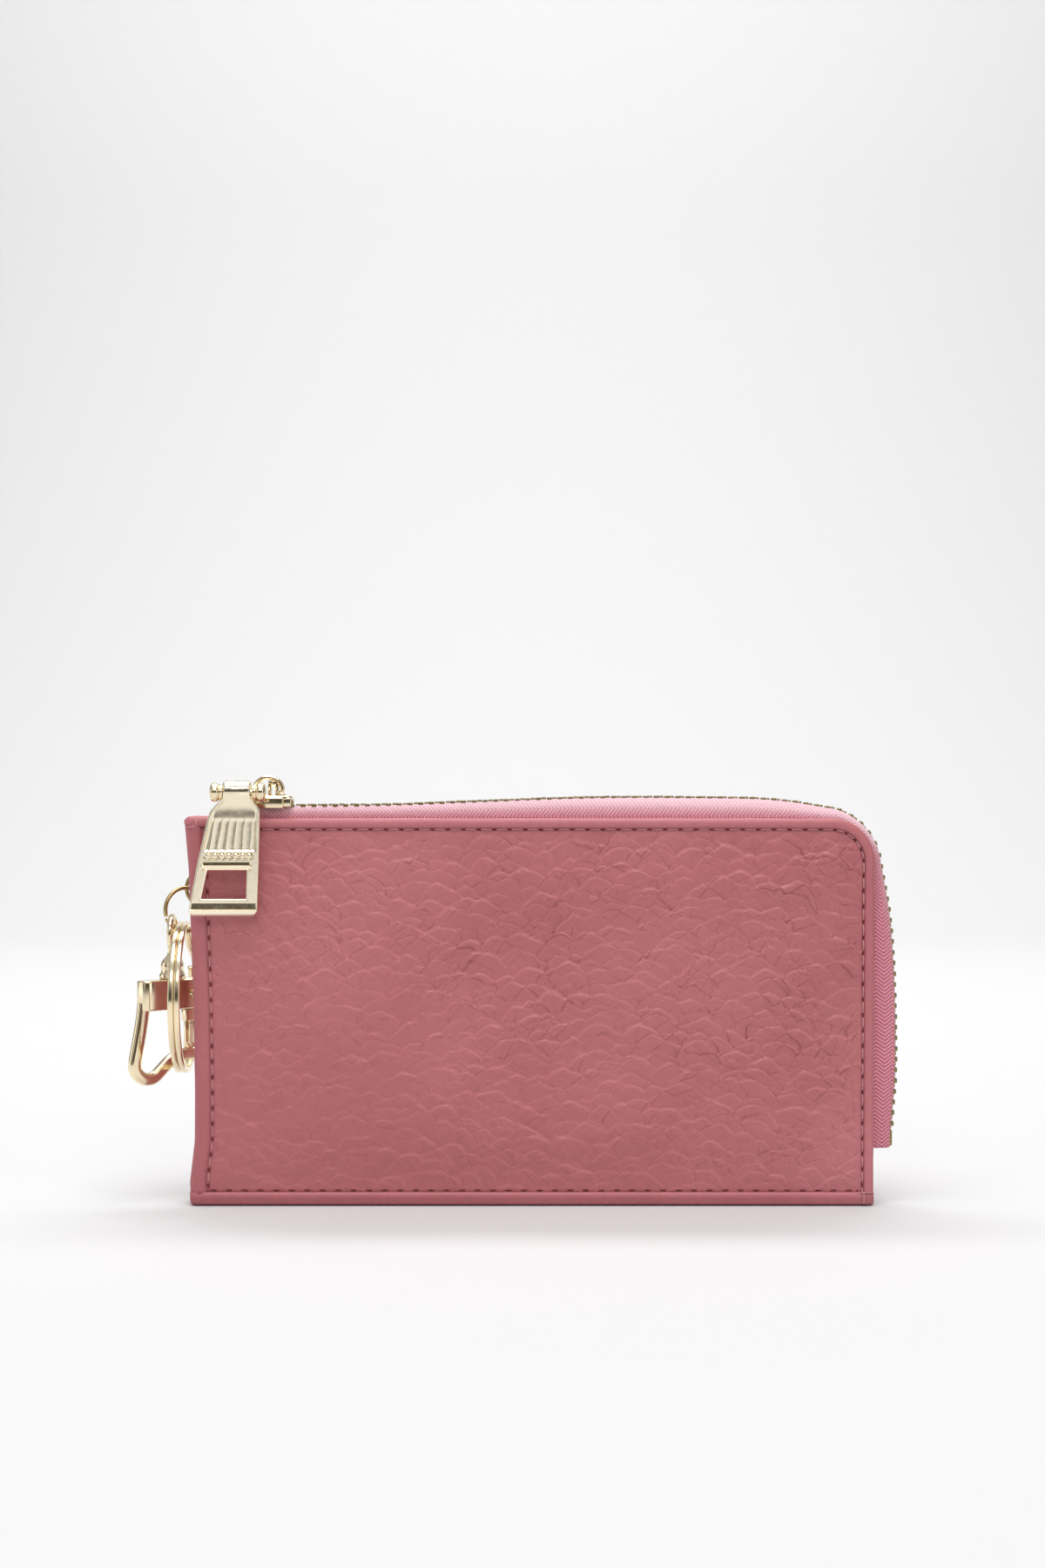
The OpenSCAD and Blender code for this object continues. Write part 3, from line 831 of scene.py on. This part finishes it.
def tacks(sign):
    """Longer bar stitches that lock the binding's two ends."""
    y, y2 = sign * (FACE + 0.05), sign * (FACE + 0.02)
    segs = [((-72.2, y, 84.4), (-72.2, y, 82.6)), ((-74.4, y2, 82.62), (-72.4, y2, 82.62)),
            ((71.6, y, 2.9), (74.9, y, 2.9)), ((72.8, y, 2.8), (72.8, y, 0.4))]
    return [(warp(a), warp(b), (0, sign, 0)) for a, b in segs]


o = stitch_mesh("thread_front", seam_segments(-1) + tacks(-1))
done(o, M_THREAD, blend=True, replaces=("front_thread_lower", "front_thread_upper"))
o = stitch_mesh("thread_back", seam_segments(1) + tacks(1))
done(o, M_THREAD, "wallet", replaces=("back_thread",))
foot = []
for sign in (-1, 1):
    for i in range(43):
        x0 = -73.2 + i * PITCH
        y = sign * (HALF + 0.24)
        foot.append(((x0 + 0.7, y, SEAM + 0.3), (x0 + PITCH - 0.7, y, SEAM + 0.3), (0, sign, 0)))
o = stitch_mesh("thread_foot", foot)
done(o, M_THREAD, "wallet", replaces=("bottom_thread",))


# ---------------------------------------------------------------- zip
def tape_half(name, sign, replaces, blend):
    s0, s1 = s_of_x(-67.0), s_of_z(12.2)
    s = np.arange(s0, s1 + 0.01, 0.45)
    t = np.linspace(0, 1, 15)
    h = crest(s)
    e, _ = edge_path(s)
    yb = FACE + LEAN * np.clip(fold_n(e[:, 0], e[:, 1]), 0, None) - 2.25
    part = 0.75 * smooth(s_of_x(-57), s_of_x(-66), s)  # the halves part beyond the slider
    # a Bezier curve across the tape, (height over the edge, distance from the middle)
    C = 0
    for k, (a, b) in enumerate(((-1.2 + 0 * s, yb), (h * 0.45, yb * 1.03 + 0.05),
                                (h * 1.04, yb * 0.82 + 0.12), (h, 1.05 + part))):
        weight = math.comb(3, k) * (1 - t) ** (3 - k) * t ** k
        C = C + weight[None, :, None] * np.stack([a, b], -1)[:, None]
    C[..., 0] += 0.07 * vnoise(s, 0 * s, 5.0, 31)[:, None] * np.sin(math.pi * t)[None, :]
    d = np.gradient(C, axis=1)
    d /= np.linalg.norm(d, axis=-1)[..., None]
    nor = np.stack([-d[..., 1], d[..., 0]], -1)
    outer, inner = C + nor * 0.21, C - nor * 0.21

    def world(q):                                # the free end's corner is rounded off
        ss = s[:, None] + 0 * q[..., 0]
        ss = np.minimum(ss, s1 - 0.9 * np.maximum(0, t[None, :] - 0.55) ** 2 * 6)
        ee, nn = edge_path(ss)
        x = ee[..., 0] + nn[..., 0] * q[..., 0]
        z = ee[..., 1] + nn[..., 1] * q[..., 0]
        return warp(np.stack([x, sign * q[..., 1], z], -1))

    acc = np.concatenate([[0], np.cumsum(np.linalg.norm(np.diff(C[100], axis=0), axis=1))])
    uv = np.stack([np.repeat(s[:, None], len(t), 1), np.repeat(acc[None], len(s), 0)], -1)
    return done(slab(name, world(outer), world(inner), uv=uv), M_TAPE,
                None if blend else "wallet", blend, replaces)


tape_half("tape_front", -1, ("zip_tape_front",), True)
tape_half("tape_back", 1, ("zip_tape_back",), False)


def tooth_proto():
    """One metal tooth, X along the zip, Y across from the tape edge, Z outward."""
    a = box_mm("ta", (-0.55, -2.0, -0.62), (0.55, -0.55, 0.55), 0.22, 2)
    b = box_mm("tb", (-0.42, -0.8, -0.45), (0.42, 0.45, 0.42), 0.16, 2)
    o = joined("tooth", a, b)
    v = np.array([q.co for q in o.data.vertices]) / MM
    f = [list(p.vertices) for p in o.data.polygons]
    bpy.data.objects.remove(o)
    return v, f


TV, TF = tooth_proto()


def teeth_half(name, sign, replaces, blend):
    V, F = [], []
    start = s_of_x(SX) + 3.0 + (0 if sign < 0 else TOOTH / 2)
    closed = np.arange(start, s_of_z(17.2), TOOTH)
    lone = [s_of_x(SX) - 3.4 - i * TOOTH for i in range(2)]
    for q, apart in [(v, 0.0) for v in closed] + [(v, 0.75) for v in lone]:
        e, nn = edge_path(q)
        p = e + nn * (float(crest(q)) + 0.10)
        tan = np.array([nn[1], 0, -nn[0]])
        up = np.array([nn[0], 0, nn[1]])
        y = np.array([0, 1.0, 0]) * (-sign)
        base = len(V)
        c = np.array([p[0], sign * apart, p[1]])
        wob = rng.normal(0, 0.03, 3)
        for a in TV:
            V.append(c + wob + a[0] * tan + a[1] * y + a[2] * up)
        F += [[base + i for i in f] for f in TF]
    o = make(name, warp(np.array(V)), F)
    fix_normals(o)
    shade(o, 40)
    return done(o, M_TEETH, None if blend else "wallet", blend, replaces)


teeth_half("teeth_front", -1, ("zip_teeth_front",), True)
teeth_half("teeth_back", 1, ("zip_teeth_back",), False)

hx = RIGHT + float(crest(s_of_z(14.6)))
done(box_mm("zip_foot_stop", (hx - 0.75, -1.9, 12.7), (hx + 0.45, 1.9, 16.2), 0.3), M_TEETH,
     "wallet", replaces=("zip_bottom_stop",))
done(joined("zip_head_stops", box_mm("q1", (-66.6, -2.1, 87.1), (-65.0, -0.6, 88.3), 0.25),
            box_mm("q2", (-66.6, 0.6, 87.1), (-65.0, 2.1, 88.3), 0.25)), M_TEETH,
     "wallet", replaces=("zip_top_stops",))


# ---------------------------------------------------------------- slider and pull
def outline_round(pts, r, k=5):
    """Round every corner of a polygon."""
    out = []
    n = len(pts)
    for i in range(n):
        p, a, b = (np.array(pts[j], float) for j in (i, i - 1, (i + 1) % n))
        u, v = (a - p), (b - p)
        lu, lv = np.linalg.norm(u), np.linalg.norm(v)
        rr = min(r, lu * 0.45, lv * 0.45)
        s, e = p + u / lu * rr, p + v / lv * rr
        for q in np.linspace(0, 1, k + 1):
            out.append(tuple((1 - q)**2 * s + 2 * q * (1 - q) * p + q * q * e))
    return out


def metal(o, ride, replaces, material=M_GOLD):
    return done(o, material, ride, replaces=replaces)


def at_slider(x0, y0, z0, x1, y1, z1, bevel):
    return box_mm("s", (SX + x0, y0, ZT + z0), (SX + x1, y1, ZT + z1), bevel)


plan = outline_round([(-5.2, -3.0), (-3.6, -4.15), (2.6, -4.15), (5.3, -3.3), (5.3, 3.3),
                      (2.6, 4.15), (-3.6, 4.15), (-5.2, 3.0)], 1.3)
parts = [move(flat_cut("s1", plan, 0.85, 0.22), (SX, 0, ZT + 1.05))]
for sgn in (-1, 1):
    y0, y1 = sgn * 3.95, sgn * 3.2
    parts.append(at_slider(-3.4, y0 - 0.38, -1.25, 3.5, y0 + 0.38, 1.2, 0.3))
    parts.append(at_slider(3.0, y1 - 0.38, -0.95, 5.2, y1 + 0.38, 1.1, 0.3))
parts.append(at_slider(-4.2, -1.7, -1.9, 4.2, 1.7, -1.2, 0.25))
parts.append(at_slider(-3.8, -0.42, -1.4, -1.6, 0.42, 0.9, 0.12))
parts.append(at_slider(-3.6, -1.3, 1.35, -2.4, 1.3, 2.6, 0.3))
parts.append(at_slider(2.2, -1.5, 1.35, 3.6, 1.5, 2.2, 0.3))
metal(joined("slider", *parts), "slider", ("slider_body",))

# the bridge over the slider that carries the link
a = np.radians(np.linspace(183, 8, 30))
arch = np.stack([-58.3 + 3.15 * np.cos(a), 0 * a, 91.2 + 2.75 * np.sin(a)], -1)
foot_a = np.array([[-61.35, 0, z] for z in np.linspace(89.9, 91.0, 4)])
foot_b = np.array([[-55.2, 0, 91.2], [-55.35, 0, 90.85], [-55.6, 0, 90.55]])
path = np.concatenate([foot_a, arch[1:], foot_b])
crown = wire("crown", path, box_section(2.5, 0.95, 0.36),
             up=lambda p: (p[0] + 58.3, 0, p[2] - 90.4))
stand = [box_mm("st", (x, -1.0, 89.8), (x + 0.75, 1.0, 92.7), 0.18) for x in (-58.35, -56.75)]
stand.append(box_mm("st", (-58.35, -1.0, 92.0), (-56.0, 1.0, 93.3), 0.3))
metal(joined("crown_bridge", crown, *stand), "slider", ("slider_crown",))


def stirrup():
    """The link: a bar bent into a U, with its legs on the pull's pivot."""
    def leg(x):
        return [(x, y, PZ) for y in np.linspace(-7.6, 2.0, 12)]

    def corner(x, a0, a1):
        return [(x + r * math.cos(q), 2.0 + r * math.sin(q), PZ) for q in np.linspace(a0, a1, 7)]

    r, xr, xl = 1.2, -59.6, -68.35
    p = leg(xr) + corner(xr - r, 0, math.pi / 2)[1:]
    p += [(x, 3.2, PZ) for x in np.linspace(xr - r, xl + r, 8)[1:-1]]
    p += corner(xl + r, math.pi / 2, math.pi) + leg(xl)[::-1][1:]
    return wire("stirrup", p, circle_section(0.78))


def disc(name, x, r, h, bevel):
    """Round disc on the pull's pivot axis, from x for h mm."""
    turn = np.radians((0, 22, 45, 68, 90))
    prof = [(0, 0), (r - bevel, 0)]
    prof += [(r - bevel + bevel * math.sin(q), bevel - bevel * math.cos(q)) for q in turn[1:]]
    prof += [(r - bevel + bevel * math.cos(q), h - bevel + bevel * math.sin(q)) for q in turn]
    o = move(lathe(name, prof + [(0, h)], 32), (x, PY, PZ), 90, "Y")
    shade(o, 50)
    return o


eyes = [disc("eye", x, 1.75, 0.9, 0.35) for x in (PX - 4.1, PX + 3.2)]
metal(joined("link", stirrup(), *eyes), "link", ("pull_link",))
metal(joined("pull_rivet", disc("rod", PX - 5.5, 0.68, 11.0, 0.05),
             disc("h1", PX - 6.0, 2.05, 2.0, 0.75), disc("h2", PX + 4.0, 2.05, 2.0, 0.75)),
      "link", ("pull_pin",))


def tab_mesh():
    """The pull's flat face: rims, flutes, a row of beads, a window and a hollowed foot."""
    step = 0.09
    head, bead_z, W0, W1, foot = -0.4, -13.85, -17.06, -23.2, -26.9  # Z, W0 to W1 the window
    # (Z, X) of the outline's left and right side, and of the window's
    sides = [[(head, -3.05), (-1.2, -3.25), (-3.9, -5.75), (-4.6, -6.15), (-5.9, -6.6),
              (-14.9, -8.75), (foot, -11.05)],
             [(head, 2.75), (-1.2, 2.95), (-3.4, 4.55), (-4.2, 4.85), (-5.9, 4.87),
              (-14.9, 4.6), (foot, 4.15)],
             [(head, -1.6), (-6, -4.3), (W0, -6.65), (W1, -8.0), (foot, -8.7)],
             [(head, 1.3), (-6, 2.5), (W0, 1.95), (W1, 1.76), (foot, 1.6)]]

    def span(a, b):
        """Points from a to b, closer together near both ends."""
        n = max(int(abs(b - a) / step), 6)
        q = np.linspace(0, 1, n)
        q = q - 0.13 * np.sin(2 * math.pi * q)
        return a + (b - a) * q

    rows = np.concatenate([span(head, -14.4)[:-1], span(-14.4, W0)[:-1], span(W0, W1)[:-1],
                           span(W1, foot)])
    i0, i1 = (int(np.argmin(np.abs(rows - w))) for w in (W0, W1))
    z = rows[:, None]
    q1, q2 = span(0, 3.2) / 3.2, span(0, 9.4) / 9.4
    XL, XR, WL, WR = (np.interp(-rows, [-q for q, _ in t], [q for _, q in t])[:, None]
                      for t in sides)
    x = np.concatenate([XL + (WL - XL) * q1[None, :-1], WL + (WR - WL) * q2[None, :-1],
                        WR + (XR - WR) * q1[None]], 1)
    j0, j1 = len(q1) - 1, len(q1) - 1 + len(q2) - 1
    # the two lower corners are rounded
    r = 1.3
    lo = np.clip((-z + foot + r) / r, 0, 1)
    inset = r * (1 - np.sqrt(np.maximum(1 - lo * lo, 0)))
    mid, half = (XL + XR) / 2, (XR - XL) / 2
    x = mid + (x - mid) * (1 - inset / half)
    XL2, XR2 = XL + inset, XR - inset
    side = np.minimum(x - XL2, XR2 - x)
    d = np.minimum(np.minimum((x - XL2) * 0.98, XR2 - x), z - foot)
    rr = 0.38
    drop = rr - np.sqrt(np.maximum(rr * rr - (rr - np.clip(d, 0, rr)) ** 2, 0))
    drop = np.where(d < rr, drop, 0)
    y = 1.3 + 0.047 * z + 0.75 * np.exp((z - head) / 1.3) - drop
    back = 1.0 - drop * 0.6
    # hollow between the rims: a neck that rises towards the flutes
    neck = smooth(0.7, 1.15, side) * smooth(-1.0, -3.0, z) * smooth(-13.0, -12.6, z)
    y = y - neck * (0.40 - 0.10 * smooth(-3.0, -5.8, z))
    flutes = smooth(-5.75, -6.3, z) * smooth(-12.75, -12.35, z) * smooth(0.75, 0.95, side)
    ph = (x - mid) / half * 3.6 + 0.5
    groove = np.sqrt(np.clip(1 - (2 * (ph - np.floor(ph)) - 1) ** 2, 0, 1))
    y = y + flutes * (0.12 - 0.32 * groove)
    # a row of plain beads, each in a shallow ring
    for k in range(7):
        dd = np.hypot(x + 1.95 - 1.5 * (k - 3), z - bead_z) / 0.62
        y = y + 0.46 * np.sqrt(np.clip(1 - dd * dd, 0, 1)) * (dd < 1)
        y = y - 0.12 * np.exp(-((dd - 1.12) / 0.16) ** 2)
    # groove and bevelled lip above the window
    over = smooth(-8.0, -7.5, x) * (1 - smooth(2.5, 3.0, x)) * (z > W0 - 0.01)
    y = y - over * (smooth(-15.08, -15.2, z) * (0.34 - 0.075 * np.clip((-15.2 - z) / 0.8, 0, 1))
                    + 0.42 * np.clip((-16.0 - z) / 1.06, 0, 1) ** 1.3
                    - 0.2 * smooth(-15.95, -16.05, z))
    # soft inner edges round the window
    dw = np.maximum(np.maximum(WL - x, x - WR), np.maximum(z - W0, W1 - z))
    ed = np.where((z < -16.2) & (z > W1 - 1.2), np.clip(dw, 0, None), 9)
    rr = 0.4
    drop = rr - np.sqrt(np.maximum(rr * rr - (rr - ed) ** 2, 0))
    y = y - np.where(ed < rr, drop, 0) * 0.8
    # foot: a dark hollow under the window, then a rounded lower lip
    hollow = smooth(0.1, 0.45, side) * smooth(-23.85, -24.0, z) * (z > -25.7)
    y = y - hollow * (0.34 - 0.14 * np.clip((-z - 24.0) / 1.6, 0, 1))
    y = y - 0.5 * np.clip((-z - 25.65) / 1.25, 0, 1) ** 2
    # scuffs
    y = y + 0.010 * vnoise(x, z, 0.9, 77) + 0.018 * vnoise(x, z, 3.0, 78)
    y = np.maximum(y, -0.6)
    back = np.maximum(back, 0.2)
    front = np.stack([PX + x, PY - y, PZ + z + 0 * x], -1)
    rear = np.stack([PX + x, PY + back, PZ + z + 0 * x], -1)
    n, m = x.shape
    k = n * m
    V = np.concatenate([front.reshape(-1, 3), rear.reshape(-1, 3)])
    F = []
    for i in range(n - 1):
        for j in range(m - 1):
            if not (i0 <= i < i1 and j0 <= j < j1):
                p = i * m + j
                F.append((p, p + 1, p + m + 1, p + m))
                F.append((k + p, k + p + m, k + p + m + 1, k + p + 1))
    for loop in (border(0, n - 1, 0, m - 1), border(i0, i1, j0, j1)):
        for (a0, b0), (a1, b1) in zip(loop, loop[1:] + loop[:1]):
            p, q = a0 * m + b0, a1 * m + b1
            F.append((p, q, q + k, p + k))
    o = make("tab_face", V, F)
    fix_normals(o)
    shade(o, 38)
    return o


def tab_loop():
    """The pull's rolled top edge, rough on its face."""
    k = 40
    ang = np.linspace(0, 2 * math.pi, k, endpoint=False)
    rings = []
    for q in np.linspace(-3.1, 2.8, 26):
        end = min(1, min(q + 3.1, 2.8 - q) / 0.35)
        at = np.full(k, q)
        rough = 0.07 * vnoise(at, ang * 2.4, 0.9, 41) + 0.04 * vnoise(at, ang * 2.4, 0.4, 42)
        r = 2.35 - 0.25 * (1 - end) ** 2 + rough
        rings.append(np.stack([PX + at, PY - r * np.cos(ang) * 0.86,
                               PZ + 0.2 + r * np.sin(ang)], -1))
    o = tube_sweep("tab_top", rings)
    shade(o, 60)
    return o


metal(joined("pull_plate", tab_mesh(), tab_loop()), "tab", ("pull_tab",), M_TAB)

# ---------------------------------------------------------------- rings
loop = [(-54.9, 4.6), (-67.5, 4.55), (-69.7, 6.85), (-71.1, 7.1), (-71.8, 8.0), (-71.88, 8.7),
        (-71.8, 9.4), (-71.1, 10.3), (-70.0, 10.55), (-68.7, 10.1), (-67.1, 8.4), (-65.0, 7.5),
        (-58.0, 7.3), (-55.0, 7.2)]
RING_Z = 69.0                                # middle of the leather loop and its ring
done(move(flat_cut("ring_loop", outline_round(loop, 0.7, 3), 5.4, 0.35, segs=3), (0, 0, RING_Z)),
     M_EDGE, "wallet", replaces=("ring_tab",))
segs = [((-58.3, 7.25, z), (-58.3, 7.25, z + 1.1), (0, 1, 0)) for z in (66.9, 68.2, 69.5, 70.6)]
done(stitch_mesh("ring_loop_thread", segs), M_THREAD, "wallet",
     replaces=("ring_tab_thread",))

# a D: a half circle, two short arms and a bar inside the loop
r = 3.75
a = np.radians(np.linspace(90, 270, 40))
path = [(-74.0 + r * math.cos(q), 8.7, RING_Z + r * math.sin(q)) for q in a]
path += [(x, 8.7, RING_Z - r) for x in np.linspace(-73.5, -70.8, 5)]
path += [(-70.0, 8.7, z) for z in np.linspace(66.0, 72.0, 8)]
path += [(x, 8.7, RING_Z + r) for x in np.linspace(-70.8, -73.5, 5)]
done(wire("small_ring", path, circle_section(0.45), closed=True, up=(0, 1, 0)),
     M_DULL, "small_ring", replaces=("d_ring",))

gap_at, gap = 199, 7.0                       # the open ring's gap, in degrees
a = np.radians(np.linspace(gap_at + gap / 2, gap_at + 360 - gap / 2, 90))
path = 4.9 * np.stack([np.cos(a), 0 * a, np.sin(a)], -1)
done(move(wire("open_ring", path, circle_section(0.48), up=(0, 1, 0)), (-77.8, 7.0, 64.3), 35),
     M_DULL, "open_ring", replaces=("jump_ring",))


def key_ring():
    """Two turns of flat wire side by side, crossing over at the back."""
    r = 33.9 / 2 - 0.7
    start = math.radians(20)
    a = np.linspace(start, start - math.radians(704), 300)
    turns = (start - a) / (2 * math.pi)
    step = np.floor(turns) + smooth(0.93, 1.0, turns - np.floor(turns))
    p = np.stack([-0.68 + 1.36 * np.clip(step, 0, 1), r * np.cos(a), r * np.sin(a)], -1)
    return wire("coil", p, box_section(1.3, 1.4, 0.38, 3), up=lambda q: (0, q[1], q[2]))


metal(move(key_ring(), (-78.0, 6.8, 44.8)), "key_ring", ("split_ring",))

# ---------------------------------------------------------------- clasp
CLASP, TURN = Vector((-80.4, 5.2, -0.3)), 41.0


def in_clasp(o):
    return move(o, CLASP, TURN)


a = np.radians(np.linspace(0, 360, 64, endpoint=False))
eye = 3.9 * np.stack([0 * a, np.cos(a), np.sin(a)], -1)
eye = wire("eye_r", eye, circle_section(0.7), closed=True, up=(1, 0, 0))
knob = lathe("knob", [(0, 49.25), (2.75, 49.25), (3.0, 49.5), (2.95, 50.2), (2.6, 50.7),
                      (2.5, 51.2), (2.62, 51.9), (2.55, 52.7), (2.2, 53.5), (1.6, 54.1),
                      (1.2, 54.6), (1.05, 55.3), (0, 55.7)], 40)
shade(knob, 50)
metal(joined("swivel_eye", move(eye, CLASP + Vector((0, 0, 59.3))), move(knob, CLASP)),
      "swivel", ("clasp_eye",))

# block with rounded ends and a slot for the gate, and the hook under it, in the XZ plane
block = outline_round([(-8.5, -2.3), (8.5, -2.3), (8.5, 2.3), (-8.5, 2.3)], 1.9, 6)
slot = outline_round([(0.3, -1.15), (7.2, -1.15), (7.2, 1.15), (0.3, 1.15)], 0.3, 2)[::-1]
block = move(flat_cut("block", block, 6.7, 0.45, holes=(slot,)), (0, 0, 45.85))
lid = box_mm("lid", (0.0, -1.5, 47.6), (7.6, 1.5, 48.9), 0.2)
pts = [(-7.45, 44.2), (-7.55, 42.6), (-7.85, 40.6), (-8.45, 37.2), (-9.2, 33.8), (-9.75, 31.9)]
pts += [(-6.3 + 3.62 * math.cos(q), 30.9 + 3.62 * math.sin(q))
        for q in np.radians(np.linspace(186, 318, 22))]
pts += [(-2.6, 29.3), (-1.6, 30.3), (-0.6, 31.2), (0.8, 31.9), (2.4, 32.2), (4.2, 32.35),
        (5.8, 32.4)]
pts = np.array(pts)
for _ in range(2):                           # evens out the corners between the parts
    pts[1:-1] = (pts[:-2] + 2 * pts[1:-1] + pts[2:]) / 4
hook = wire("hook", np.stack([pts[:, 0], 0 * pts[:, 0], pts[:, 1]], -1),
            box_section(2.85, 2.15, 0.85), up=(0, 1, 0))
shade(hook, 50)
metal(in_clasp(joined("clasp", block, lid, hook)), "clasp", ("clasp_body",))

GATE_X, GATE_Z = 4.3, 46                     # the gate's pin


def cylinder_v(name, z, r, v0, v1, bevel=0.15):
    """Cylinder across the clasp, from v0 to v1."""
    h = v1 - v0
    prof = [(0, 0), (r - bevel, 0), (r, bevel), (r, h - bevel), (r - bevel, h), (0, h)]
    o = move(lathe(name, prof, 24), (GATE_X, v0, z), -90, "X")
    shade(o, 40)
    return o


gate = joined("gate", cylinder_v("g1", GATE_Z, 1.7, -0.55, 0.55),
              box_mm("g2", (3.2, -0.55, 41.8), (5.6, 0.55, 46.2), 0.2),
              box_mm("g3", (2.9, -1.05, 39.6), (5.9, 1.05, 42.4), 0.3),
              box_mm("g4", (3.2, -0.5, 33.7), (5.5, 0.5, 40.0), 0.25),
              cylinder_v("g5", 34.3, 1.0, -0.95, 0.95))
rods = [wire("rod", [(4.2, v, z) for z in np.linspace(33.9, 40.2, 6)], circle_section(0.42, 10),
             up=(0, 1, 0)) for v in (-0.78, 0.78)]
metal(in_clasp(joined("gate_lever", gate, *rods)), "gate", ("clasp_gate",))
pin = joined("gate_rivet", cylinder_v("p1", GATE_Z, 0.7, -2.5, 2.5),
             cylinder_v("p2", GATE_Z, 1.1, -2.8, -2.25, 0.2),
             cylinder_v("p3", GATE_Z, 1.1, 2.25, 2.8, 0.2))
metal(in_clasp(pin), "clasp", ("gate_pin",))
path = [(GATE_X + 1.05 * math.cos(q), 0.70 + 0.30 * q / (6 * math.pi),
         GATE_Z + 1.05 * math.sin(q)) for q in np.linspace(0, 6 * math.pi, 60)]
spring = wire("gate_coil", path, circle_section(0.07, 6), up=(0, 1, 0.001))
done(in_clasp(spring), M_STEEL, "clasp", replaces=("gate_spring",))


# ---------------------------------------------------------------- studio
def studio():
    """Floor and backdrop in one curved sheet of paper; these sizes are in metres."""
    m, nt, b, _ = new_mat("paper")
    put(nt, b, {"Base Color": (0.655, 0.655, 0.66), "Roughness": 0.9, "Specular IOR Level": 0.1})
    prof = [(-1.4, 0.0), (0.9, 0.0)]
    for q in np.linspace(0, math.pi / 2, 24):
        prof.append((0.9 + 0.6 * math.sin(q), 0.6 - 0.6 * math.cos(q)))
    prof.append((1.5, 2.4))
    V = [(sx * 1.9, y, z - 0.0002) for y, z in prof for sx in (-1, 1)]
    F = [(2 * i, 2 * i + 1, 2 * i + 3, 2 * i + 2) for i in range(len(prof) - 1)]
    o = make("paper_sweep", np.array(V) / MM, F)
    o.data.materials.append(m)


studio()


def area(name, loc, target, size, energy, size_y):
    li = bpy.data.lights.new(name, "AREA")
    li.energy = energy
    li.shape = "RECTANGLE"
    li.size = size
    li.size_y = size_y
    o = add_object(name, li)
    o.location = loc
    o.rotation_euler = (Vector(target) - Vector(loc)).to_track_quat("-Z", "Y").to_euler()


area("key_top", (-0.02, -0.22, 0.85), (0, 0, 0.05), 0.55, 4.25, size_y=0.4)
area("floor_fill", (0.0, -0.80, 0.62), (0, -0.66, 0), 0.5, 2.2, size_y=0.3)
area("front_left", (-0.8, -0.8, 0.35), (0, 0, 0.05), 0.4, 0.45, size_y=0.6)
area("front_right", (0.85, -0.75, 0.3), (0, 0, 0.05), 0.35, 1.25, size_y=0.6)
area("left_card", (-0.68, 0.03, 0.13), (-0.085, 0, 0.04), 0.4, 0.36, size_y=0.3)
area("backdrop", (0.0, 0.5, 1.2), (0, 1.2, 0.3), 1.2, 16.6, size_y=0.5)

world = bpy.data.worlds.new("studio")
bpy.context.scene.world = world
world.use_nodes = True
nt = world.node_tree
bg = nt.nodes["Background"]
# white overhead, dark near the horizon for the metal's reflections, warm from the floor
down_up = node(nt, "SeparateXYZ", {0: node(nt, "TexCoord").outputs["Generated"]}).outputs[2]
sky = ramp(nt, math_n(nt, "MULTIPLY_ADD", down_up, 0.5, 0.5), [
    (0.30, (0.40, 0.36, 0.34)), (0.44, (0.30, 0.27, 0.25)), (0.475, (0.12, 0.10, 0.075)),
    (0.59, (0.13, 0.11, 0.085)), (0.66, (0.50, 0.49, 0.48)), (0.78, (1.0, 1.0, 1.0))])
put(nt, bg, {"Color": sky, "Strength": 0.5})

DIST = 520.0                                 # camera to the front panel
FRAME_H = 344.0                              # height of the picture at that distance
cam_data = bpy.data.cameras.new("camera")
cam = add_object("camera", cam_data)
cam.location = (-2.1 * MM, (-FACE - DIST) * MM, 92.5 * MM)
cam.rotation_euler = (math.radians(90), 0, 0)
cam_data.sensor_fit = "VERTICAL"
cam_data.sensor_height = 36
cam_data.lens = 36 * DIST / FRAME_H
cam_data.clip_start = 0.01
cam_data.clip_end = 20
bpy.context.scene.camera = cam
bpy.context.scene.view_settings.view_transform = "Standard"

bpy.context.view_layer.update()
